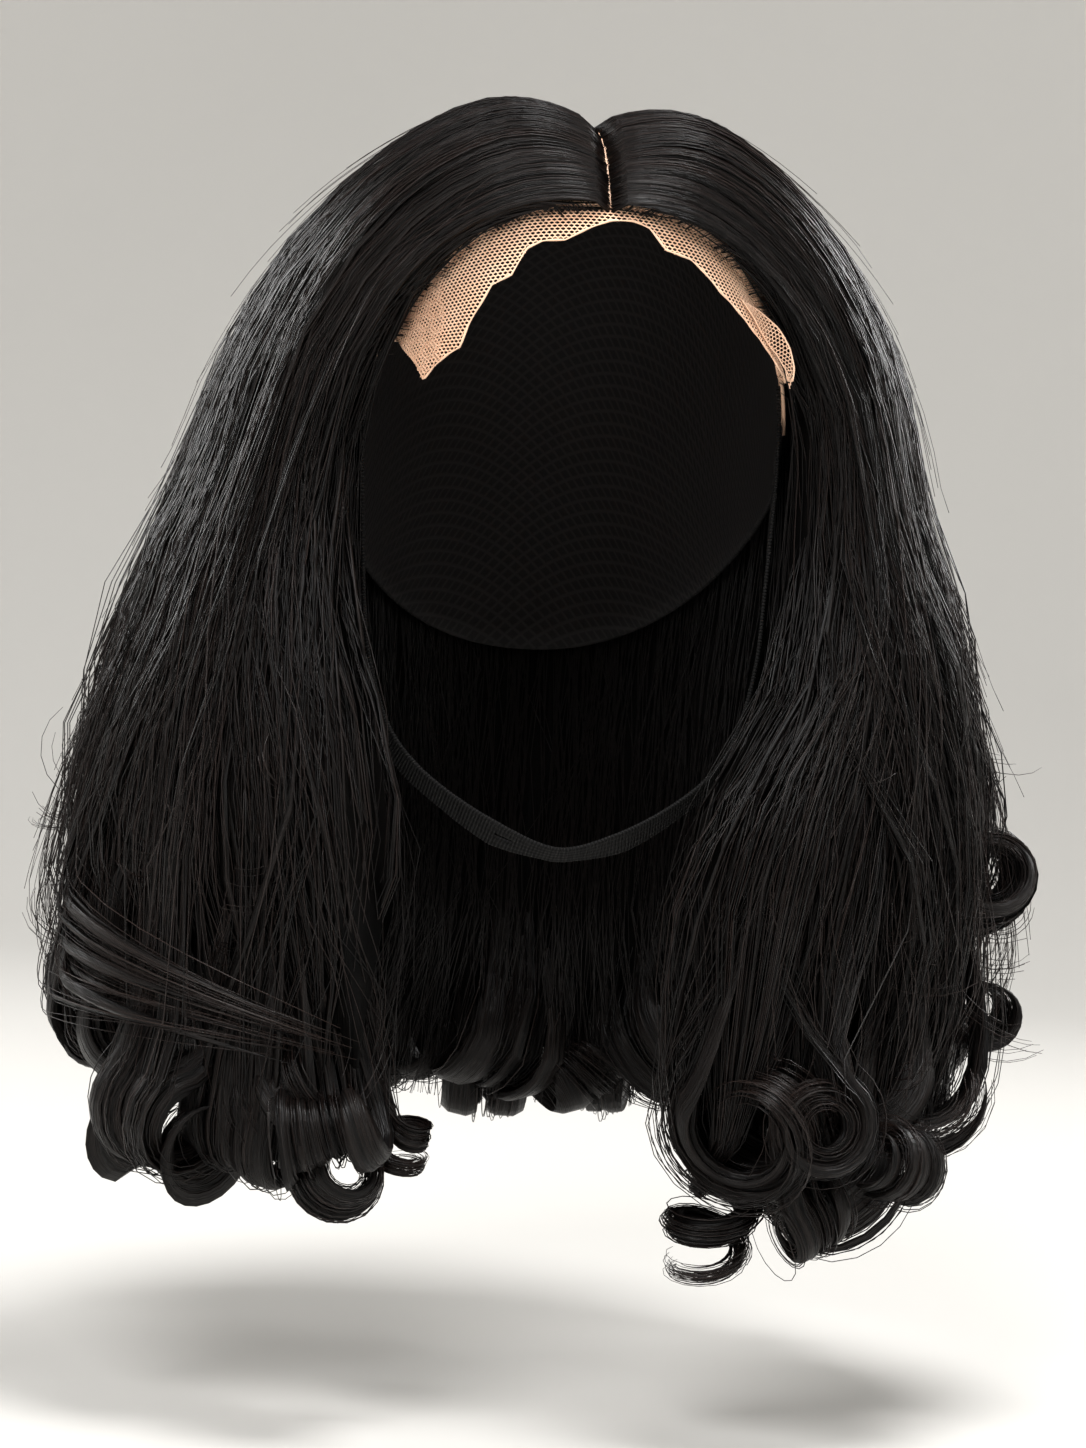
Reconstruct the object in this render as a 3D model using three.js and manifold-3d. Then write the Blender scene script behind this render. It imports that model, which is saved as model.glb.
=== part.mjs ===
import * as THREE from 'three';
import Module from 'manifold-3d';

// Shoulder-length lace-front wig with a chin strap. Millimetres, +Z up, face toward -Y,
// origin on the inside of the cap at its top.

const wasm = await Module();
wasm.setup();

// Driving sizes.
const head = { templeHalf: 66, backHalf: 72, front: 90, back: 97, crown: 100, nape: 128, power: 2.2 };
const capWall = 1.5;
const laceWall = 1.0;
const pieceGap = 0.4;
const seamAngle = 100;        // the lace meets the cap just behind the crown, degrees back from the face
const earAngle = 78;          // how far both reach toward the ears
const hairClear = 1.8;        // hair starts this far above the cap
const parting = { half: 1.3, front: -69, back: 30 };
const strap = { thick: 1.2, slotLong: 6, slotWide: 2.4, slotFrom: -14, slotDeep: 6 };
const faceMiddle = [0, -30, -150];   // the strap's faces lean away from here

const meshTolerance = 0.05;

const rad = Math.PI / 180;
const { clamp, lerp, smoothstep } = THREE.MathUtils;
const vec = (x, y, z) => new THREE.Vector3(x, y, z);
const centre = vec(0, 0, -head.crown);
const named = (columns, rows) => rows.map((row) => Object.fromEntries(
  columns.map((name, k) => [name, row[k]]),
));

// Curtain outlines from shoulder height down. In is the hollow side, out the outer face; each has its
// front edge, its middle at the ear and its back edge, then the middle of the back hair.
const curtain = named(
  ['z', 'frontInX', 'frontInY', 'earInX', 'earInY', 'backInX', 'backInY', 'rearIn',
    'frontOutX', 'frontOutY', 'earOutX', 'earOutY', 'backOutX', 'backOutY', 'rearOut', 'rightLean'],
  [
    [-100, 67, -33, 79, 18, 73, 46, 103, 81, -52, 114, -2, 98, 74, 122, 0],
    [-135, 65, -38, 81, 18, 73, 46, 99, 84, -60, 126, -4, 105, 79, 126, 1],
    [-170, 62, -53, 82, 18, 69, 45, 90, 82, -75, 136, -6, 113, 84, 131, 4],
    [-205, 49, -66, 79, 17, 65, 43, 82, 75, -87, 145, -8, 119, 88, 135, 13],
    [-240, 42, -69, 74, 16, 63, 42, 78, 69, -92, 151, -10, 123, 91, 137, 15],
    [-275, 38, -69, 73, 16, 63, 42, 77, 66, -94, 151, -10, 123, 91, 136, 6],
    [-310, 38, -69, 75, 15, 65, 42, 77, 64, -92, 144, -10, 117, 86, 130, 3],
    [-345, 42, -67, 80, 15, 68, 43, 79, 60, -84, 118, -8, 98, 75, 115, 0],
  ],
);

// One row per lock, front to back: share of the piece's width, height of its tip, how far it swells.
const lockColumns = ['share', 'tip', 'swell'];
const locks = {
  hair_left: named(lockColumns, [
    [0.10, -304, 3], [0.14, -322, 5], [0.15, -320, 6], [0.16, -306, 6], [0.15, -298, 6], [0.15, -304, 5],
    [0.15, -308, 3],
  ]),
  hair_right: named(lockColumns, [
    [0.10, -320, 3], [0.14, -330, 5], [0.15, -314, 6], [0.16, -308, 6], [0.15, -298, 6], [0.15, -304, 5],
    [0.15, -308, 3],
  ]),
  hair_back: named(lockColumns, [
    [0.17, -310, 3], [0.16, -316, 5], [0.17, -320, 5], [0.17, -321, 5], [0.16, -315, 5], [0.17, -310, 3],
  ]),
};

// One row per curl: where it leaves its piece (across), centre of the roll, way it turns out (degrees from
// +X), tilt of its axis, radius at start and end, start angle, sweep, rise along the axis in a turn, half
// width and half thickness of the ribbon of hair.
const curlColumns = [
  'across', 'x', 'y', 'z', 'out', 'tilt', 'big', 'small', 'start', 'sweep', 'rise', 'wide', 'thick',
];
const curls = {
  hair_left: named(curlColumns, [
    [0.03, -43, -64, -307, 180, 112, 9, 8, 60, 560, -9, 4, 2.2],
    [0.08, -60, -70, -321, 10, 24, 15, 9, 150, 330, 4, 10, 3.8],
    [0.13, -67, -84, -305, 262, -12, 14, 8, 205, 400, 4, 14, 5.0],
    [0.24, -110, -54, -308, 208, 8, 24, 14, 40, -350, 6, 18, 6.0],
    [0.42, -58, 0, -264, 180, 86, 93, 93, 18, 66, -130, 9, 4.6],
    [0.38, -136, -16, -264, 184, 10, 15, 8, 160, 330, 5, 14, 4.8],
    [0.47, -139, -2, -238, 178, 6, 14, 9, 172, 190, 4, 13, 3.8],
    [0.56, -136, 14, -292, 170, 0, 15, 8, 160, 350, 6, 14, 5.0],
    [0.69, -122, 40, -298, 158, 0, 16, 8, 160, 350, 6, 14, 5.0],
    [0.84, -110, 59, -301, 148, 0, 15, 8, 160, 340, 4, 13, 5.0],
  ]),
  hair_right: named(curlColumns, [
    [0.04, 53, -66, -318, 0, 70, 14, 11, 200, -760, -15, 5, 3.2],
    [0.11, 82, -71, -328, 292, -24, 12, 8, 55, -350, 4, 12, 4.2],
    [0.17, 80, -83, -297, 0, 4, 17, 13, 60, -380, 8, 10, 4.6],
    [0.27, 112, -58, -310, 312, 10, 15, 9, 205, 350, 6, 14, 5.0],
    [0.34, 122, -44, -288, 348, 4, 27, 19, 188, 185, 3, 15, 5.0],
    [0.46, 144, -6, -224, 0, 8, 19, 11, 200, 380, 5, 16, 5.0],
    [0.53, 147, 2, -268, 2, 0, 15, 8, 170, 350, 4, 13, 4.6],
    [0.64, 131, 30, -296, 18, 0, 16, 8, 160, 350, 4, 14, 5.0],
    [0.82, 110, 59, -301, 32, 0, 15, 8, 160, 340, -4, 13, 5.0],
  ]),
  hair_back: named(curlColumns, [
    [0.14, -75, 98, -306, 128, 0, 16, 8, 160, 350, 4, 14, 5.0],
    [0.32, -42, 117, -311, 108, 0, 17, 8, 160, 350, 4, 15, 5.4],
    [0.50, 0, 123, -315, 90, 0, 17, 8, 160, 360, 4, 16, 5.4],
    [0.68, 42, 117, -311, 72, 0, 17, 8, 160, 350, -4, 15, 5.4],
    [0.86, 75, 98, -306, 52, 0, 16, 8, 160, 350, -4, 14, 5.0],
  ]),
};

// Ragged free edge of the lace: angle toward the ear, angle up from the face, lift off the brow.
const laceEdge = named(['ear', 'up', 'lift'], [
  [-78, 46, 0], [-71, 45, 0], [-64, 43, 0], [-57, 42, 0], [-50, 36, 0.3], [-45, 26, 0.8], [-41, 20, 1.6],
  [-38, 14, 2.6], [-35, 17, 2.0], [-32, 19, 1.2], [-29, 20, 0.8], [-27, 25, 0.4], [-24, 29, 0.3],
  [-22, 32, 0.3], [-18, 33, 0.3], [-15, 38, 0.3], [-12, 39, 0.3], [-8, 38.6, 0.3], [-4, 41, 0.3],
  [0, 43, 0.3], [4, 43.5, 0.3], [7, 42.5, 0.3], [10, 38.5, 0.3], [15, 38.5, 0.3], [18, 37, 0.4],
  [22, 34.5, 0.6], [26, 33, 1.0], [31, 30.5, 2.0], [36, 28.5, 3.0], [40, 26.5, 4.0], [43, 25, 4.8],
  [46, 25, 4.2], [48, 30, 0.8], [53, 36, 0.3], [58, 40, 0], [64, 43, 0], [71, 45, 0], [78, 46, 0],
]);
const laceLift = 0.16;        // share of the lace, from its free edge, over which it comes down on the head

// Strap centre line from the chin up to the ear, with its width and how far its face leans to the front;
// lapped rows lie under the edge of the lace.
const strapLine = named(['x', 'y', 'z', 'width', 'lapped', 'lean'], [
  [0, -53, -223.5, 8, 0, 32], [6, -53, -222.6, 8, 0, 32], [14, -52, -220.4, 11, 0, 34],
  [20, -51.2, -218.2, 12, 0, 36], [25, -49.8, -215.6, 11, 0, 36], [36, -45.5, -208.6, 9, 0, 36],
  [45.5, -40.5, -201.2, 9, 0, 34], [53, -36, -192.4, 9, 0, 32], [59, -30, -178, 9, 0, 28],
  [62.4, -25, -162, 9, 0, 22], [64, -19, -140, 9, 0, 14], [65, -15, -118, 9, 0, 6],
  [66, -12, -98, 9, 1, 0], [66, -12, -86, 9, 1, 0], [66, -12, -74, 9, 1, 0],
]);

// Closed solid through rings of points; every ring is a band or an oval with an even count.
function loft(rings) {
  const sides = rings[0].length;
  const index = [];
  const quad = (a, b, c, d) => index.push(a, b, c, a, c, d);
  for (let row = 0; row + 1 < rings.length; row++) {
    for (let side = 0; side < sides; side++) {
      const next = (side + 1) % sides;
      const lower = row * sides;
      const upper = lower + sides;
      quad(lower + side, lower + next, upper + next, upper + side);
    }
  }
  const last = (rings.length - 1) * sides;
  for (let k = 0; k < sides / 2 - 1; k++) {
    quad(k, sides - 1 - k, sides - 2 - k, k + 1);
    quad(last + k, last + k + 1, last + sides - 2 - k, last + sides - 1 - k);
  }
  const points = rings.flat();
  let volume = 0;
  for (let k = 0; k < index.length; k += 3) {
    const [a, b, c] = [points[index[k]], points[index[k + 1]], points[index[k + 2]]];
    volume += a.dot(b.clone().cross(c));
  }
  if (volume < 0) {
    index.reverse();
  }
  const vertProperties = new Float32Array(points.flatMap((p) => [p.x, p.y, p.z]));
  return new wasm.Manifold(new wasm.Mesh({ numProp: 3, vertProperties, triVerts: new Uint32Array(index) }));
}

// Superellipsoid of the inside of the cap: distance from its centre in a direction.
function headRadius(dir) {
  const reach = dir.y < 0 ? head.front : head.back;
  const tall = dir.z > 0 ? head.crown : head.nape;
  const half = lerp(head.templeHalf, head.backHalf, smoothstep(dir.y, -0.5, 0.5));
  const sum = Math.abs(dir.x / half) ** head.power + Math.abs(dir.y / reach) ** head.power
    + Math.abs(dir.z / tall) ** head.power;
  return sum ** (-1 / head.power);
}

const onHead = (dir, off) => dir.clone().multiplyScalar(headRadius(dir) + off).add(centre);

// Direction by angle toward the ear and angle up and over from the face.
function overHead(ear, up) {
  const flat = Math.cos(ear * rad);
  return vec(Math.sin(ear * rad), -flat * Math.cos(up * rad), flat * Math.sin(up * rad));
}

// Value of a table column at a height, eased between rows.
function atHeight(table, column, z) {
  let k = 0;
  while (k < table.length - 2 && z < table[k + 1].z) {
    k++;
  }
  const t = (z - table[k].z) / (table[k + 1].z - table[k].z);
  const before = table[Math.max(k - 1, 0)][column];
  const after = table[Math.min(k + 2, table.length - 1)][column];
  const [a, b] = [table[k][column], table[k + 1][column]];
  const [slopeA, slopeB] = [(b - before) / 2, (after - a) / 2];
  const [t2, t3] = [t * t, t * t * t];
  return (2 * t3 - 3 * t2 + 1) * a + (t3 - 2 * t2 + t) * slopeA + (3 * t2 - 2 * t3) * b + (t3 - t2) * slopeB;
}

// Outline of a curtain at a height; across runs front to back, depth from the hollow side to the outer face.
function hang(name, across, depth, z) {
  const read = (part) => lerp(atHeight(curtain, part[0], z), atHeight(curtain, part[1], z), depth);
  const edgeX = read(['backInX', 'backOutX']);
  const edgeY = read(['backInY', 'backOutY']);
  if (name === 'hair_back') {
    const turn = (2 * across - 1) * 60 * rad;
    const rear = read(['rearIn', 'rearOut']);
    return vec(edgeX * Math.sin(turn) / Math.sin(60 * rad), lerp(edgeY, rear, 2 * Math.cos(turn) - 1), z);
  }
  const side = name === 'hair_left' ? -1 : 1;
  const front = 2 * (across - 0.5) * (across - 1);
  const ear = 4 * across * (1 - across);
  const back = 2 * across * (across - 0.5);
  const lean = side > 0 ? atHeight(curtain, 'rightLean', z) : 0;
  const frontX = read(['frontInX', 'frontOutX']) - lean;
  const x = front * frontX + ear * read(['earInX', 'earOutX']) + back * edgeX;
  const y = front * read(['frontInY', 'frontOutY']) + ear * read(['earInY', 'earOutY']) + back * edgeY;
  return vec(side * x, y, z);
}

// Direction of combed hair on the cap, from the parting (turn 0) to shoulder height (turn 1).
function combed(side, across, turn) {
  const y = lerp(lerp(parting.front, parting.back, across), lerp(-31, 46, across), turn ** 2.2);
  const reach = y < 0 ? head.front : head.back;
  const size = (1 - Math.abs(y / reach) ** head.power) ** (1 / head.power);
  const x = head.backHalf * size * Math.sin(turn * 90 * rad) ** (2 / head.power);
  const z = head.crown * size * Math.cos(turn * 90 * rad) ** (2 / head.power);
  return vec(side * (x + parting.half * (1 - turn)), y, z).normalize();
}

function combedBack(across, turn) {
  const edge = combed(across < 0.5 ? -1 : 1, 1, turn);
  const slope = lerp(20, 90, turn) * rad;
  const rear = vec(0, Math.sin(slope), Math.cos(slope));
  return rear.lerp(edge, Math.abs(2 * across - 1)).normalize();
}

// Lock at a place across a piece: its row and the place within it.
function lockAt(name, across) {
  let start = 0;
  for (const lock of locks[name]) {
    if (across <= start + lock.share + 1e-9) {
      return { lock, inside: clamp((across - start) / lock.share, 0, 1) };
    }
    start += lock.share;
  }
  return { lock: locks[name].at(-1), inside: 1 };
}

// Point in a hair piece: across front to back, depth 0 hollow side to 1 outer face, down 0 root to 1 tip.
const shoulder = 0.44;
const mound = { high: 9.5, until: 0.3, flare: 27, curve: 1.7 };  // how the hair rises beside the parting
function hairPoint(name, across, depth, down) {
  const isBack = name === 'hair_back';
  const side = name === 'hair_left' ? -1 : 1;
  const { lock, inside } = lockAt(name, across);
  const ridge = Math.abs(Math.sin(inside * Math.PI)) ** 0.7 - 0.55;
  const swell = lock.swell * ridge * smoothstep(down, 0.2, 0.8) * depth;
  const dome = (turn) => {
    const dir = isBack ? combedBack(across, turn) : combed(side, across, turn);
    const brow = isBack ? 1 : lerp(0.3, 1, smoothstep(across, 0, 0.2));
    const round = 1 - (1 - Math.min(turn / mound.until, 1)) ** 2;
    const lift = mound.high * round + mound.flare * turn ** mound.curve;
    return onHead(dir, capWall + hairClear + depth * (0.8 + lift * brow));
  };
  let point;
  if (down < shoulder) {
    const turn = down / shoulder;
    const miss = hang(name, across, depth, centre.z).sub(dome(1));
    point = dome(turn).addScaledVector(miss, turn ** 3);
  } else {
    const fall = (down - shoulder) / (1 - shoulder);
    const tip = lock.tip + 16 * (1 - Math.sin(inside * Math.PI));
    const thin = 0.72 * smoothstep(fall, 0.72, 1);
    point = hang(name, across, lerp(depth, 0.62, thin), lerp(centre.z, tip, fall));
  }
  const out = vec(point.x, point.y - 10, 0).normalize();
  point.addScaledVector(out, swell);
  if (isBack) {
    point.add(vec(-Math.sign(2 * across - 1) * 0.5 * Math.abs(2 * across - 1) ** 4, 0.8, 0));
  }
  return point;
}

// Ribbon of hair along a path of points; wide lies along the given direction at the last point.
function ribbon(path, across, sizeAt) {
  const tangents = path.map((p, k) => path[Math.min(k + 1, path.length - 1)].clone()
    .sub(path[Math.max(k - 1, 0)]).normalize());
  const rings = [];
  let wideDir = across.clone();
  for (let k = path.length - 1; k >= 0; k--) {
    wideDir = wideDir.addScaledVector(tangents[k], -wideDir.dot(tangents[k])).normalize().clone();
    const thickDir = tangents[k].clone().cross(wideDir);
    const { wide, thick } = sizeAt(k / (path.length - 1));
    const ring = [];
    for (let corner = 0; corner < 6; corner++) {
      const angle = corner * 60 * rad;
      ring.push(path[k].clone().addScaledVector(wideDir, wide * Math.cos(angle))
        .addScaledVector(thickDir, thick * Math.sin(angle)));
    }
    rings.push(ring);
  }
  return loft(rings);
}

// Curl that leaves the curtain at a lock and rolls about its own axis.
function curl(name, row) {
  const outward = vec(Math.cos(row.out * rad), Math.sin(row.out * rad), 0);
  const level = vec(outward.y, -outward.x, 0);
  const axis = level.multiplyScalar(Math.cos(row.tilt * rad)).add(vec(0, 0, Math.sin(row.tilt * rad)));
  const upward = axis.clone().cross(outward);
  const rollPoint = (t) => {
    const angle = (row.start + row.sweep * t) * rad;
    const swept = t * Math.abs(row.sweep);
    const opening = row.tilt > 60 && row.big < 40 ? lerp(0.3, 1, smoothstep(swept, 0, 150)) : 1;
    const radius = lerp(row.big, row.small, t) * opening;
    return vec(row.x, row.y, row.z).addScaledVector(outward, radius * Math.cos(angle))
      .addScaledVector(upward, radius * Math.sin(angle)).addScaledVector(axis, row.rise * swept / 360);
  };
  const steps = Math.max(4, Math.round(Math.abs(row.sweep) / 40));
  const from = hairPoint(name, row.across, 0.55, 0.7);
  const begin = rollPoint(0);
  const reach = from.distanceTo(begin);
  const leave = hairPoint(name, row.across, 0.55, 0.74).sub(from).normalize().multiplyScalar(reach);
  const enter = rollPoint(0.02).sub(begin).normalize().multiplyScalar(reach * 0.5);
  const path = [];
  for (let k = 0; k < 4; k++) {
    const t = k / 4;
    const [t2, t3] = [t * t, t * t * t];
    path.push(from.clone().multiplyScalar(2 * t3 - 3 * t2 + 1).addScaledVector(leave, t3 - 2 * t2 + t)
      .addScaledVector(begin, 3 * t2 - 2 * t3).addScaledVector(enter, t3 - t2));
  }
  for (let k = 0; k <= steps; k++) {
    path.push(rollPoint(k / steps));
  }
  const fine = (t) => (t < 0.3 ? lerp(0.7, 1, t / 0.3) : lerp(1, 0.45, (t - 0.3) / 0.7));
  return ribbon(path, axis, (t) => ({ wide: row.wide * fine(t), thick: row.thick * fine(t) }));
}

// Largest closed shell of a join.
function fuse(solids) {
  const shells = wasm.Manifold.union(solids).decompose();
  const largest = shells.reduce((best, shell) => (shell.volume() > best.volume() ? shell : best));
  return largest.simplify(meshTolerance);
}

function hair(name) {
  const downs = [0, 0.07, 0.15, 0.24, 0.34, 0.44, 0.54, 0.64, 0.74, 0.83, 0.92, 1];
  const places = [];
  let start = 0;
  for (const lock of locks[name]) {
    for (const inside of [0, 0.22, 0.5, 0.78]) {
      places.push(start + lock.share * inside);
    }
    start += lock.share;
  }
  places.push(1);
  const rings = places.map((across) => [
    ...downs.map((down) => hairPoint(name, across, 1, down)),
    ...downs.toReversed().map((down) => hairPoint(name, across, 0, down)),
  ]);
  return fuse([loft(rings), ...curls[name].map((row) => curl(name, row))]);
}

// Shell patch over the head between two angles per ear station.
function shell(stations, steps, low, high, wall) {
  const rings = stations.map((station) => {
    const outer = [];
    const inner = [];
    for (let k = 0; k <= steps; k++) {
      const t = k / steps;
      const dir = overHead(station.ear, lerp(low(station), high(station), t));
      const lift = (station.lift ?? 0) * (1 - smoothstep(t, 0, laceLift));
      outer.push(onHead(dir, wall + lift));
      inner.unshift(onHead(dir, lift));
    }
    return [...outer, ...inner];
  });
  return loft(rings);
}

function cap() {
  const count = 22;
  const earAt = (k) => lerp(-earAngle, earAngle, k / count);
  const stations = Array.from({ length: count + 1 }, (_, k) => ({ ear: earAt(k) }));
  const seam = ({ ear }) => seamAngle + pieceGap / (95 * Math.cos(ear * rad)) / rad;
  const nape = ({ ear }) => lerp(216, 204, (ear / earAngle) ** 2);
  return shell(stations, 10, seam, nape, capWall);
}

function laceFront() {
  return shell(laceEdge, 8, ({ up }) => up, () => seamAngle, laceWall);
}

// Ways across the strap's width and through its thickness at a point; the back edge leans outward.
function strapFrame(point, tangent, lean) {
  const wideDir = vec(0, 1, 0).addScaledVector(tangent, -tangent.y).normalize();
  const away = tangent.clone().cross(wideDir);
  if (away.dot(point.clone().sub(vec(...faceMiddle))) < 0) {
    away.negate();
  }
  wideDir.multiplyScalar(Math.cos(lean * rad)).addScaledVector(away, Math.sin(lean * rad));
  return { wideDir, thickDir: tangent.clone().cross(wideDir) };
}

// Slot in the widened stretch beside the chin, cut square through the strap.
function strapSlot(from, to, lean) {
  const middle = from.clone().lerp(to, 0.5);
  const tangent = to.clone().sub(from).normalize();
  const { wideDir, thickDir } = strapFrame(middle, tangent, lean);
  const ring = (through) => [[-1, -1], [1, -1], [1, 1], [-1, 1]].map(([a, b]) => middle.clone()
    .addScaledVector(tangent, a * strap.slotLong / 2).addScaledVector(wideDir, b * strap.slotWide / 2)
    .addScaledVector(thickDir, through));
  return loft([ring(-strap.slotDeep), ring(strap.slotDeep)]);
}

function chinStrap() {
  const left = strapLine.map((row) => ({ ...row, x: -row.x }));
  const line = [...left.slice(1).reverse(), ...strapLine];
  const path = line.map((row) => vec(row.x, row.y, row.z));
  const rings = path.map((p, k) => {
    const tangent = path[Math.min(k + 1, path.length - 1)].clone().sub(path[Math.max(k - 1, 0)]).normalize();
    const { wideDir, thickDir } = strapFrame(p, tangent, line[k].lean);
    const half = line[k].width / 2;
    const corner = (a, b) => {
      const flat = p.clone().addScaledVector(wideDir, a * half);
      if (!line[k].lapped) {
        return flat.addScaledVector(thickDir, b * strap.thick / 2);
      }
      const outside = b * Math.sign(thickDir.x * p.x) > 0;
      return onHead(flat.sub(centre).normalize(), -pieceGap - (outside ? 0 : strap.thick));
    };
    return [corner(-1, -1), corner(0, -1), corner(1, -1), corner(1, 1), corner(0, 1), corner(-1, 1)];
  });
  const slotRow = line.findIndex((row) => row.x === strap.slotFrom);
  const slot = strapSlot(path[slotRow - 1], path[slotRow], line[slotRow].lean);
  return fuse([loft(rings).subtract(slot)]);
}

const looks = {
  hair: { color: 0x17110f, roughness: 0.45, metalness: 0 },
  net: { color: 0x151515, roughness: 0.85, metalness: 0 },
  lace: { color: 0xd3a486, roughness: 0.8, metalness: 0 },
  elastic: { color: 0x131313, roughness: 0.75, metalness: 0 },
};
const pieces = [
  ['cap', cap(), 'net'],
  ['lace_front', laceFront(), 'lace'],
  ['hair_left', hair('hair_left'), 'hair'],
  ['hair_right', hair('hair_right'), 'hair'],
  ['hair_back', hair('hair_back'), 'hair'],
  ['chin_strap', chinStrap(), 'elastic'],
];

const group = new THREE.Group();
group.name = 'glueless_wig';
for (const [name, solid, look] of pieces) {
  const { vertProperties, triVerts } = solid.getMesh();
  const geometry = new THREE.BufferGeometry();
  geometry.setAttribute('position', new THREE.BufferAttribute(vertProperties, 3));
  geometry.setIndex(new THREE.BufferAttribute(triVerts, 1));
  geometry.computeVertexNormals();
  const material = new THREE.MeshStandardMaterial(looks[look]);
  material.name = look;
  const mesh = new THREE.Mesh(geometry, material);
  mesh.name = name;
  group.add(mesh);
}

export default group;
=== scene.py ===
import math
import bpy
import numpy as np
from mathutils import Matrix, Vector


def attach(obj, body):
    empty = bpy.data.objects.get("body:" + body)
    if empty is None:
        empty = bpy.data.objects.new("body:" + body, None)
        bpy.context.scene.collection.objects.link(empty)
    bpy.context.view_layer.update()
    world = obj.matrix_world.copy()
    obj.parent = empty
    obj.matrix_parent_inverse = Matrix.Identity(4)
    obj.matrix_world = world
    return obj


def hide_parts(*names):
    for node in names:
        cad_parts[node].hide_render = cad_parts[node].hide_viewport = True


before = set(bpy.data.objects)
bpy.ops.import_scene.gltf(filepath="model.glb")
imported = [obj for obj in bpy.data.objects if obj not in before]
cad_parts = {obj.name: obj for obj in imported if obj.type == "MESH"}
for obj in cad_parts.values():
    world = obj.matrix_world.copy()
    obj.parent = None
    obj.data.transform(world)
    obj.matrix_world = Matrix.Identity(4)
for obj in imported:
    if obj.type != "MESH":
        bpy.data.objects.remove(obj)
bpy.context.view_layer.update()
mm = 0.001
fullTurn = 6.28  # radians in one wave, near enough
print("frame loaded")

# Camera at the photograph's angle. The wig sits turned a little, so the camera is rolled by as much.
photoView = {"azimuth": -7.0, "elevation": 2.0, "roll": 4.0, "distance": 1150.0, "near": 0.01, "far": 30,
             "target": (-1.0, 0.0, -186.0), "pixelsPerMm": 3.15, "imageHigh": 1448, "sensor": 36.0}


def placeCamera(view):
    turn, lift, roll = (math.radians(view[key]) for key in ("azimuth", "elevation", "roll"))
    back = Vector((math.sin(turn) * math.cos(lift), -math.cos(turn) * math.cos(lift), math.sin(lift)))
    right = Vector((math.cos(turn), math.sin(turn), 0))
    up = back.cross(right)
    tiltedRight = right * math.cos(roll) + up * math.sin(roll)
    tiltedUp = up * math.cos(roll) - right * math.sin(roll)
    data = bpy.data.cameras.new("photoCamera")
    data.sensor_fit = "VERTICAL"
    data.sensor_height = view["sensor"]
    data.lens = view["pixelsPerMm"] * view["distance"] * view["sensor"] / view["imageHigh"]
    data.clip_start = view["near"]
    data.clip_end = view["far"]
    camera = bpy.data.objects.new("photoCamera", data)
    place = (Vector(view["target"]) + back * view["distance"]) * mm
    turned = Matrix((tiltedRight, tiltedUp, back)).transposed().to_4x4()
    camera.matrix_world = Matrix.Translation(place) @ turned
    bpy.context.scene.collection.objects.link(camera)
    bpy.context.scene.camera = camera


placeCamera(photoView)
print("camera placed")


# Small helpers shared by all the pieces.
def linear(hexColour):
    channels = [int(hexColour[k:k + 2], 16) / 255 for k in (1, 3, 5)]
    return [c / 12.92 if c <= 0.04045 else ((c + 0.055) / 1.055) ** 2.4 for c in channels] + [1.0]


# Adds a node; "stops" are the places and colours along a ramp.
def addNode(tree, kind, settings=None, links=None):
    node = tree.nodes.new(kind)
    for name, value in (settings or {}).items():
        if name == "stops":
            for element, (place, colour) in zip(node.color_ramp.elements, value):
                element.position = place
                element.color = linear(colour)
        elif hasattr(node, name):
            setattr(node, name, value)
        else:
            node.inputs[name].default_value = value
    for name, source in (links or {}).items():
        tree.links.new(source, node.inputs[name])
    return node


# Material from a chain of nodes, each feeding the next, which gives its colour and any relief.
def makeMaterial(name, surface, chain=(), stops=None, bump=None):
    material = bpy.data.materials.new(name)
    material.use_nodes = True
    tree = material.node_tree
    tree.nodes.clear()
    source, links = None, {}
    for kind, settings, output in chain:
        source = addNode(tree, kind, settings, {"Vector": source} if source else None).outputs[output]
    if stops:
        ramp = addNode(tree, "ShaderNodeValToRGB", {"stops": stops}, {"Fac": source})
        links["Base Color"] = ramp.outputs["Color"]
    if bump:
        relief = addNode(tree, "ShaderNodeBump", bump, {"Height": source})
        links["Normal"] = relief.outputs["Normal"]
    shader = addNode(tree, "ShaderNodeBsdfPrincipled", surface, links)
    addNode(tree, "ShaderNodeOutputMaterial", links={"Surface": shader.outputs["BSDF"]})
    return material


def mix(low, high, share):
    return low + (high - low) * share


def smoothstep(value, low, high):
    share = np.clip((value - low) / (high - low), 0, 1)
    return share * share * (3 - 2 * share)


# Smooth curve from start to end that leaves and enters with the given slopes.
def hermite(t, start, leave, end, enter):
    return ((2 * t ** 3 - 3 * t ** 2 + 1) * start + (t ** 3 - 2 * t ** 2 + t) * leave
            + (3 * t ** 2 - 2 * t ** 3) * end + (t ** 3 - t ** 2) * enter)


def unit(vectors):
    return vectors / np.maximum(np.linalg.norm(vectors, axis=-1, keepdims=True), 1e-9)


def dot(first, second):
    return (first * second).sum(-1, keepdims=True)


# Distance from the start of a path to each of its points.
def runLengths(path):
    return np.concatenate([[0], np.cumsum(np.linalg.norm(np.diff(path, axis=0), axis=1))])


# Rows of values for the outer face of a wall and back along its inner face.
def bothFaces(rows):
    return np.concatenate([rows, rows[:, ::-1]], 1)


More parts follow.
